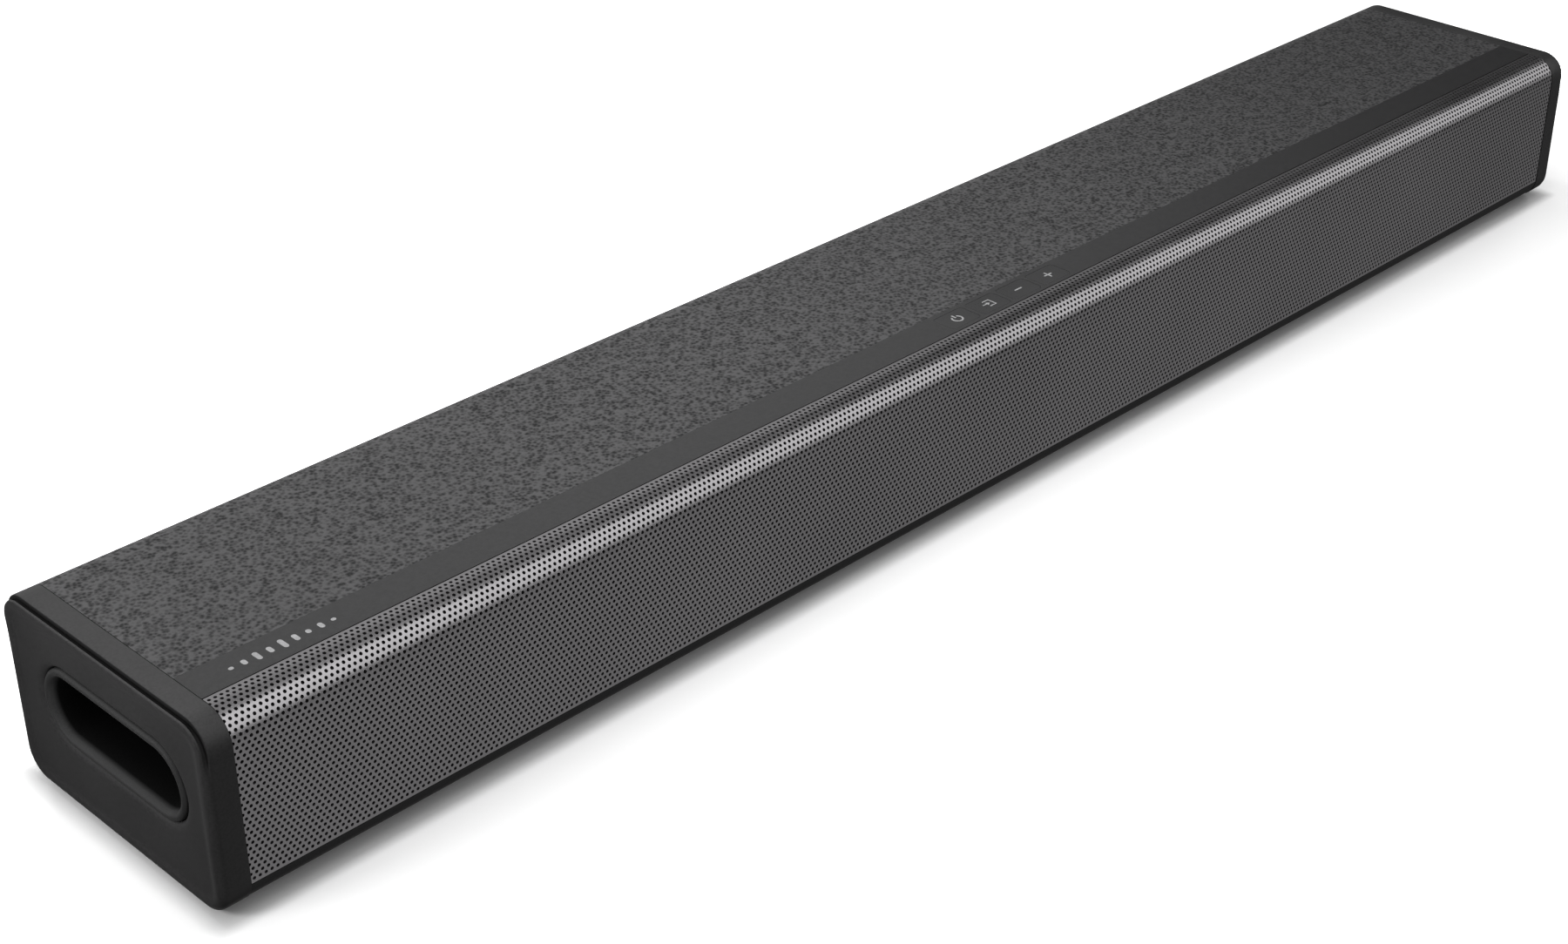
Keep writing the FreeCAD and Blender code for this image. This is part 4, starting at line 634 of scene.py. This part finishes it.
def bar_poly(cx, cy, w, h, r=None):
    r = min(w, h) / 2 * 0.98 if r is None else r
    out = []
    for qx, qy, a0 in ((1, 1, 0), (-1, 1, 90), (-1, -1, 180), (1, -1, 270)):
        for i in range(7):
            a = math.radians(a0 + 15 * i)
            out.append((cx + qx * (w / 2 - r) + r * math.cos(a), cy + qy * (h / 2 - r) + r * math.sin(a)))
    return out


def arc_poly(cx, cy, ro, ri, a0, a1, n=40):
    t = np.radians(np.linspace(a0, a1, n))
    o = [(cx + ro * math.cos(a), cy + ro * math.sin(a)) for a in t]
    i = [(cx + ri * math.cos(a), cy + ri * math.sin(a)) for a in t[::-1]]
    return o + i


ZI = (60.86, 61.012)
prism("icon_power", [(arc_poly(-24.3, -29.15, 2.1, 1.5, 125, 415), None), (bar_poly(-24.3, -27.5, 0.6, 2.1), None)], *ZI, M["print_grey"], "key_power")
fx, fy = -9.1, -29.0
frame_pts = [(fx - 0.9, fy + 2.0), (fx - 0.9, fy + 1.55), (fx + 1.75, fy + 1.55), (fx + 1.75, fy - 1.55), (fx - 0.9, fy - 1.55), (fx - 0.9, fy - 2.0), (fx + 2.2, fy - 2.0), (fx + 2.2, fy + 2.0)]
arrow = [(fx - 2.4, fy - 0.22), (fx - 0.6, fy - 0.22), (fx - 0.6, fy - 0.95), (fx + 0.75, fy), (fx - 0.6, fy + 0.95), (fx - 0.6, fy + 0.22), (fx - 2.4, fy + 0.22)]
prism("icon_source", [(frame_pts, None), (arrow, None)], *ZI, M["print_grey"], "key_source")
prism("icon_minus", [(bar_poly(6.1, -29.0, 3.6, 0.62), None)], *ZI, M["print_grey"], "key_volume_down")
pa, pw = 1.8, 0.3
cross = [(21.3 + x, -29.0 + y) for x, y in [(-pw, pa), (-pw, pw), (-pa, pw), (-pa, -pw), (-pw, -pw), (-pw, -pa), (pw, -pa), (pw, -pw), (pa, -pw), (pa, pw), (pw, pw), (pw, pa)]]
prism("icon_plus", [(cross, None)], *ZI, M["print_grey"], "key_volume_up")

# generic level-bar mark
bars = [1.3, 2.4, 3.9, 2.9, 4.4, 3.2, 1.9, 2.7, 1.3]
prism("level_mark", [(bar_poly(-303.0 + i * 4.0, -29.2, 1.5, h), None) for i, h in enumerate(bars)], 60.9, 61.012, M["print_grey"], "housing")


def foot(name, fx, fy):
    N = 96
    c = (fx, fy)

    def rr(i):
        return outline(c, N, lambda p: d_rrect(p, fx, fy, 20.0 - i, 5.0 - i, max(2.0 - i, 0.5)), far=40)

    spec = [(rr(0.0), 1.0), (rr(0.0), 0.4), (rr(0.08), 0.2), (rr(0.22), 0.06), (rr(0.45), 0.0), (rr(1.5), 0.0), (rr(1.7), 0.12), (rr(2.3), 0.12), (rr(2.5), 0.0)]
    co = np.concatenate([np.column_stack([p, np.full(N, z)]) for p, z in spec])
    F = ring_faces(len(spec), N, False)
    F.append(tuple(range(N))[::-1])
    F.append(tuple(range((len(spec) - 1) * N, len(spec) * N)))
    return make(name, co, F, M["foot_rubber"], "housing", sharp=35)


for i, (x, y) in enumerate([(-250, -31), (250, -31), (-250, 31), (250, 31)]):
    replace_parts(foot("foot_%d" % (i + 1), x, y), "feet")


def scrim():
    lo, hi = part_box("grille_scrim")
    nx, nz = 420, 26
    xs = np.linspace(lo.x * 1000, hi.x * 1000, nx)
    zs = np.linspace(lo.z * 1000, hi.z * 1000, nz)
    X, Z = np.meshgrid(xs, zs, indexing="ij")
    ripple = 0.02 * np.sin(X * 0.31) * np.sin(Z * 0.55) + 0.015 * np.sin(X * 1.7 + Z * 0.9)
    inner = (np.abs(X) < hi.x * 1000 - 2) & (Z > zs[1]) & (Z < zs[-2])
    ripple = np.where(inner, np.abs(ripple), 0)
    f = np.stack([X, lo.y * 1000 + ripple, Z], -1).reshape(-1, 3)
    b = np.stack([X, hi.y * 1000 - 0.02 + ripple * 0, Z], -1).reshape(-1, 3)
    n = nx * nz
    idx = np.arange(n).reshape(nx, nz)
    F = []
    for i in range(nx - 1):
        for j in range(nz - 1):
            q = (idx[i, j], idx[i + 1, j], idx[i + 1, j + 1], idx[i, j + 1])
            F.append(q)
            F.append(tuple(v + n for v in q[::-1]))
    loop = list(idx[:, 0]) + list(idx[-1, 1:]) + list(idx[-2::-1, -1]) + list(idx[0, -2:0:-1])
    for a, c in zip(loop, loop[1:] + loop[:1]):
        F.append((c, a, a + n, c + n))
    return make("scrim_sheet", np.concatenate([f, b]), F, M["scrim_cloth"], "housing", sharp=60)


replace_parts(scrim(), "grille_scrim")

# ------------------------------------------------------------------ soft rings of the drivers
# Each ring is cut into wedges.
def wedge(name, spokes, pairs, cz, mat, mid, node):
    """spokes: (x of the centre, angle) across the wedge; pairs(x, angle): (radius, front y, back y) outwards."""
    front, back = [], []
    for ox, a in spokes:
        for rf, yf, rb, yb in pairs(a):
            front.append((ox + rf * math.cos(a), yf, cz + rf * math.sin(a)))
            back.append((ox + rb * math.cos(a), yb, cz + rb * math.sin(a)))
    m, k = len(spokes), len(front) // len(spokes)
    n = m * k
    F = []
    for i in range(m - 1):
        for j in range(k - 1):
            a, b, c, d = i * k + j, i * k + j + 1, (i + 1) * k + j + 1, (i + 1) * k + j
            F.append((a, b, c, d))
            F.append((d + n, c + n, b + n, a + n))
        for j in (0, k - 1):
            a, d = i * k + j, (i + 1) * k + j
            F.append((a, d, d + n, a + n) if j == 0 else (d, a, a + n, d + n))
    for i in (0, m - 1):
        for j in range(k - 1):
            a, b = i * k + j, i * k + j + 1
            F.append((b, a, a + n, b + n) if i == 0 else (a, b, b + n, a + n))
    o = make(name, front + back, F, mat, None, sharp=50)
    ox, a = mid
    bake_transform(o)
    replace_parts(o, node)


def fan(cx, s, count, steps):
    """Wedges all the way round a circle, or round a slot with s between its two centres and its middle."""
    half = math.pi / count
    out = []
    for i in range(count):
        mid = 2 * half * i
        angles = [mid + half * (2.0 * j / steps - 1) for j in range(steps + 1)]
        side = round(math.cos(mid), 6)
        if s > 0 and side == 0:
            first = s if math.sin(mid) > 0 else -s
            out.append(([(cx + first, a) for a in angles if a <= mid + 1e-9] + [(cx - first, a) for a in angles if a >= mid - 1e-9], (cx, mid)))
        else:
            ox = cx + (s if side > 0 else -s)
            out.append(([(ox, a) for a in angles], (ox, mid)))
    return out


def soft_rings(tag, t, s, coil, roll):
    lo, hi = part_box(tag + "_surround")
    cx, cz = (lo.x + hi.x) * 500, (lo.z + hi.z) * 500
    h = 0.2
    yb = hi.y * 1000
    ya, y0 = yb - 2 * h, yb - h
    ra = t / 2 - 2.9
    rb = t / 2 - 4.3
    rc = rb - 2 * roll
    rm = (rb + rc) / 2
    prof = [(ra, ya, ra, yb), (rb + h, ya, rb - h, yb)]
    for i in range(1, 14):
        a = math.pi * i / 14
        c, v = math.cos(a), math.sin(a)
        prof.append((rm + (roll + h) * c, y0 - (roll + h) * v, rm + (roll - h) * c, y0 - (roll - h) * v))
    prof += [(rc - h, ya, rc + h, yb), (rc - 1.2, ya, rc - 1.2, yb)]
    count = 8
    for i, (spokes, mid) in enumerate(fan(cx, s, count, 10)):
        wedge("%s_surround_%02d" % (tag, i + 1), spokes, lambda a: prof, cz, M["surround_rubber"], mid, tag + "_surround")
    lo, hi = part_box(tag + "_spider")
    ys = (lo.y + hi.y) * 500
    r0, hold = coil + 0.2, t / 2 - 7.0
    r1 = (hi.z - lo.z) * 500
    w0, w1, waves, amp = (12.1, hold - 0.02, 1, 0.5) if s > 0 else (coil + 1.0, hold - 0.2, 3, 0.42)

    def edge(a):
        c, v = abs(math.cos(a)), abs(math.sin(a))
        if s <= 0:
            return r1
        if v > 1e-6 and r1 / v * c <= s:
            return r1 / v
        return s * c + math.sqrt(max(r1 * r1 - s * s * v * v, 0.0))

    def sheet_line(a):
        out = []
        for r in [r0, r0 + 0.4] + [w0 + (w1 - w0) * i / (10 * waves) for i in range(10 * waves + 1)] + [hold]:
            f = (r - w0) / (w1 - w0)
            # the slot-shaped cone comes close along its length, so that spider has one roll, bowed away from it
            y = ys + ((amp * math.sin(math.pi * f) ** 2 if s > 0 else amp * math.sin(2 * math.pi * waves * f)) if 0 < f < 1 else 0.0)
            out.append((r, y - 0.15, r, y + 0.15))
        e = edge(a)
        for f in (0.35, 0.7, 1.0):
            r = hold + (e - hold) * f
            out.append((r, ys - 0.15, r, ys + 0.15))
        return out

    count = 12
    for i, (spokes, mid) in enumerate(fan(cx, 0.0, count, 6)):
        wedge("%s_spider_%02d" % (tag, i + 1), spokes, sheet_line, cz, M["spider_cloth"], mid, tag + "_spider")


soft_rings("woofer", 48.0, 24.0, 10.0, 2.6)
soft_rings("driver_left", 46.0, 0.0, 6.8, 2.0)
soft_rings("driver_right", 46.0, 0.0, 6.8, 2.0)

# ------------------------------------------------------------------ floor, light, camera
fm, nt, b = material("floor_white")
v = coords(nt)
n = noise(nt, v, 3.0, 2.0)
link(nt, mix_col(nt, span(nt, n, 0.3, 0.7, 0.0, 1.0), (0.93, 0.93, 0.93), (0.95, 0.95, 0.95)), b.inputs["Base Color"])
b.inputs["Roughness"].default_value = 0.9
b.inputs["Specular IOR Level"].default_value = 0.0
b.inputs["Emission Color"].default_value = (1, 1, 1, 1)
fs = nt.nodes.new("ShaderNodeSeparateXYZ")
link(nt, v, fs.inputs[0])
# painted shadow: the floor glows less close to the bar, painting a dark contact shadow round its base, wider past the
# two ends
gx = math_node(nt, "MULTIPLY", math_node(nt, "MAXIMUM", math_node(nt, "SUBTRACT", math_node(nt, "ABSOLUTE", fs.outputs["X"]), 0.325), 0.0), 0.75)
gy = math_node(nt, "MAXIMUM", math_node(nt, "SUBTRACT", math_node(nt, "ABSOLUTE", fs.outputs["Y"]), 0.0475), 0.0)
away = math_node(nt, "SQRT", math_node(nt, "ADD", math_node(nt, "MULTIPLY", gx, gx), math_node(nt, "MULTIPLY", gy, gy)))
link(nt, math_node(nt, "ADD", span(nt, away, 0.0, 0.0040, 0.04, 0.42), span(nt, away, 0.003, 0.060, 0.0, 0.22)), b.inputs["Emission Strength"])
me = bpy.data.meshes.new("floor")
me.from_pydata([(-8, -8, 0), (8, -8, 0), (8, 8, 0), (-8, 8, 0)], [], [(0, 1, 2, 3)])
me.materials.append(fm)
floor = bpy.data.objects.new("floor", me)
scene.collection.objects.link(floor)
floor.visible_diffuse = False
floor.visible_glossy = False

world = bpy.data.worlds.new("studio")
scene.world = world
world.use_nodes = True
wt = world.node_tree
for x in list(wt.nodes):
    wt.nodes.remove(x)
tc = wt.nodes.new("ShaderNodeTexCoord")
sx = wt.nodes.new("ShaderNodeSeparateXYZ")
wt.links.new(tc.outputs["Generated"], sx.inputs[0])
up = span(wt, sx.outputs["Z"], -0.02, 0.10, 0.0, 1.0)
# a pale wall low down on the far side that falls off into dark towards +X
flat_len = math_node(wt, "SQRT", math_node(wt, "ADD", math_node(wt, "MULTIPLY", sx.outputs["X"], sx.outputs["X"]), math_node(wt, "MULTIPLY", sx.outputs["Y"], sx.outputs["Y"])))
turn = math_node(wt, "DIVIDE", math_node(wt, "MULTIPLY", math_node(wt, "SUBTRACT", sx.outputs["X"], sx.outputs["Y"]), 0.7071), math_node(wt, "MAXIMUM", flat_len, 0.001))
wall = math_node(wt, "MULTIPLY", span(wt, turn, -0.05, 0.24, 0.62, 0.01), span(wt, sx.outputs["Y"], -0.25, 0.2, 0.28, 1.0))
high = span(wt, sx.outputs["Z"], 0.55, 0.8, 0.0, 1.0)
val = math_node(wt, "ADD", math_node(wt, "MULTIPLY", wall, math_node(wt, "SUBTRACT", 1.0, high)), math_node(wt, "MULTIPLY", high, span(wt, sx.outputs["X"], 0.30, 0.72, 0.46, 0.05)))
val = math_node(wt, "MULTIPLY", val, up)
lp = wt.nodes.new("ShaderNodeLightPath")
front = math_node(wt, "MULTIPLY", span(wt, sx.outputs["Z"], -0.05, -0.2, 0.0, 1.0), span(wt, sx.outputs["Y"], -0.05, -0.45, 0.0, 1.0))
front = math_node(wt, "MULTIPLY", front, lp.outputs["Is Glossy Ray"])
# pale table mirrored in the back
back = span(wt, sx.outputs["Y"], 0.10, 0.45, 0.0, 1.0)
back = math_node(wt, "MULTIPLY", back, span(wt, sx.outputs["X"], -0.30, 0.0, 0.0, 1.0))
back = math_node(wt, "MULTIPLY", math_node(wt, "MULTIPLY", span(wt, sx.outputs["Z"], -0.05, -0.2, 0.0, 1.0), back), lp.outputs["Is Glossy Ray"])
val = math_node(wt, "ADD", val, math_node(wt, "ADD", math_node(wt, "MULTIPLY", front, span(wt, sx.outputs["X"], 0.40, 0.85, 0.345, 0.228)), 0.012))
bg = wt.nodes.new("ShaderNodeBackground")
val = math_node(wt, "ADD", val, math_node(wt, "MULTIPLY", back, 0.34))
wt.links.new(val, bg.inputs["Strength"])
bg.inputs["Color"].default_value = (1, 1, 1, 1)
white = wt.nodes.new("ShaderNodeBackground")
white.inputs["Strength"].default_value = 1.0
ms = wt.nodes.new("ShaderNodeMixShader")
wt.links.new(lp.outputs["Is Camera Ray"], ms.inputs[0])
wt.links.new(bg.outputs[0], ms.inputs[1])
wt.links.new(white.outputs[0], ms.inputs[2])
wo = wt.nodes.new("ShaderNodeOutputWorld")
wt.links.new(ms.outputs[0], wo.inputs[0])


def area(name, pos, aim, sx_, sy_, power, glossy=True):
    l = bpy.data.lights.new(name, "AREA")
    l.shape = "RECTANGLE"
    l.size, l.size_y, l.energy = sx_, sy_, power
    o = bpy.data.objects.new(name, l)
    scene.collection.objects.link(o)
    o.location = pos
    d = Vector(aim) - Vector(pos)
    o.rotation_mode = "QUATERNION"
    o.rotation_quaternion = d.to_track_quat("-Z", "X")
    o.visible_camera = False
    o.visible_glossy = glossy
    return o


def strip(name, pos, aim, length_x, width, power):
    """Long soft strip lying along X."""
    o = area(name, pos, aim, length_x, width, power)
    z = -(Vector(aim) - Vector(pos)).normalized()
    x = Vector((1, 0, 0))
    x = (x - z * x.dot(z)).normalized()
    y = z.cross(x)
    o.rotation_quaternion = Matrix((x, y, z)).transposed().to_quaternion()
    return o


area("top_soft", (-0.14, 0.02, 0.42), (-0.12, 0.0, 0.0), 0.6, 0.2, 1.22, glossy=False)
strip("edge_strip", (1.10, -0.93, 0.87), (1.10, -0.05, 0.05), 3.3, 1.56, 21.0).visible_diffuse = False
area("front_fill", (-0.1, -1.4, 0.7), (0.0, 0.0, 0.03), 1.6, 0.7, 2.0, glossy=False)
area("end_soft", (-0.45, 0.0, 0.10), (-0.325, 0.0, 0.04), 0.05, 0.05, 0.098, glossy=False)
area("far_end_soft", (0.50, 0.0, 0.05), (0.325, 0.0, 0.035), 0.05, 0.05, 0.12, glossy=False)
area("back_fill", (0.1, 1.25, 0.10), (0.1, 0.0, 0.035), 0.8, 0.08, 11.0, glossy=False)

cam = bpy.data.cameras.new("cam")
co = bpy.data.objects.new("cam", cam)
scene.collection.objects.link(co)
yaw, pitch, roll = math.radians(45.165), math.radians(30.055), math.radians(-0.10)
d = Vector((math.sin(yaw) * math.cos(pitch), math.cos(yaw) * math.cos(pitch), -math.sin(pitch)))
rt = Vector((math.cos(yaw), -math.sin(yaw), 0.0))
upv = rt.cross(d)
r2 = rt * math.cos(roll) + upv * math.sin(roll)
u2 = upv * math.cos(roll) - rt * math.sin(roll)
co.matrix_world = Matrix.Translation(Vector((-0.58106, -0.50394, 0.42618))) @ Matrix((r2, u2, -d)).transposed().to_4x4()
cam.sensor_fit = "HORIZONTAL"
cam.sensor_width = 36.0
cam.lens = 58.12
cam.clip_start, cam.clip_end = 0.01, 50.0
scene.camera = co
scene.view_settings.view_transform = "Standard"
scene.view_settings.look = "None"

bpy.context.view_layer.update()
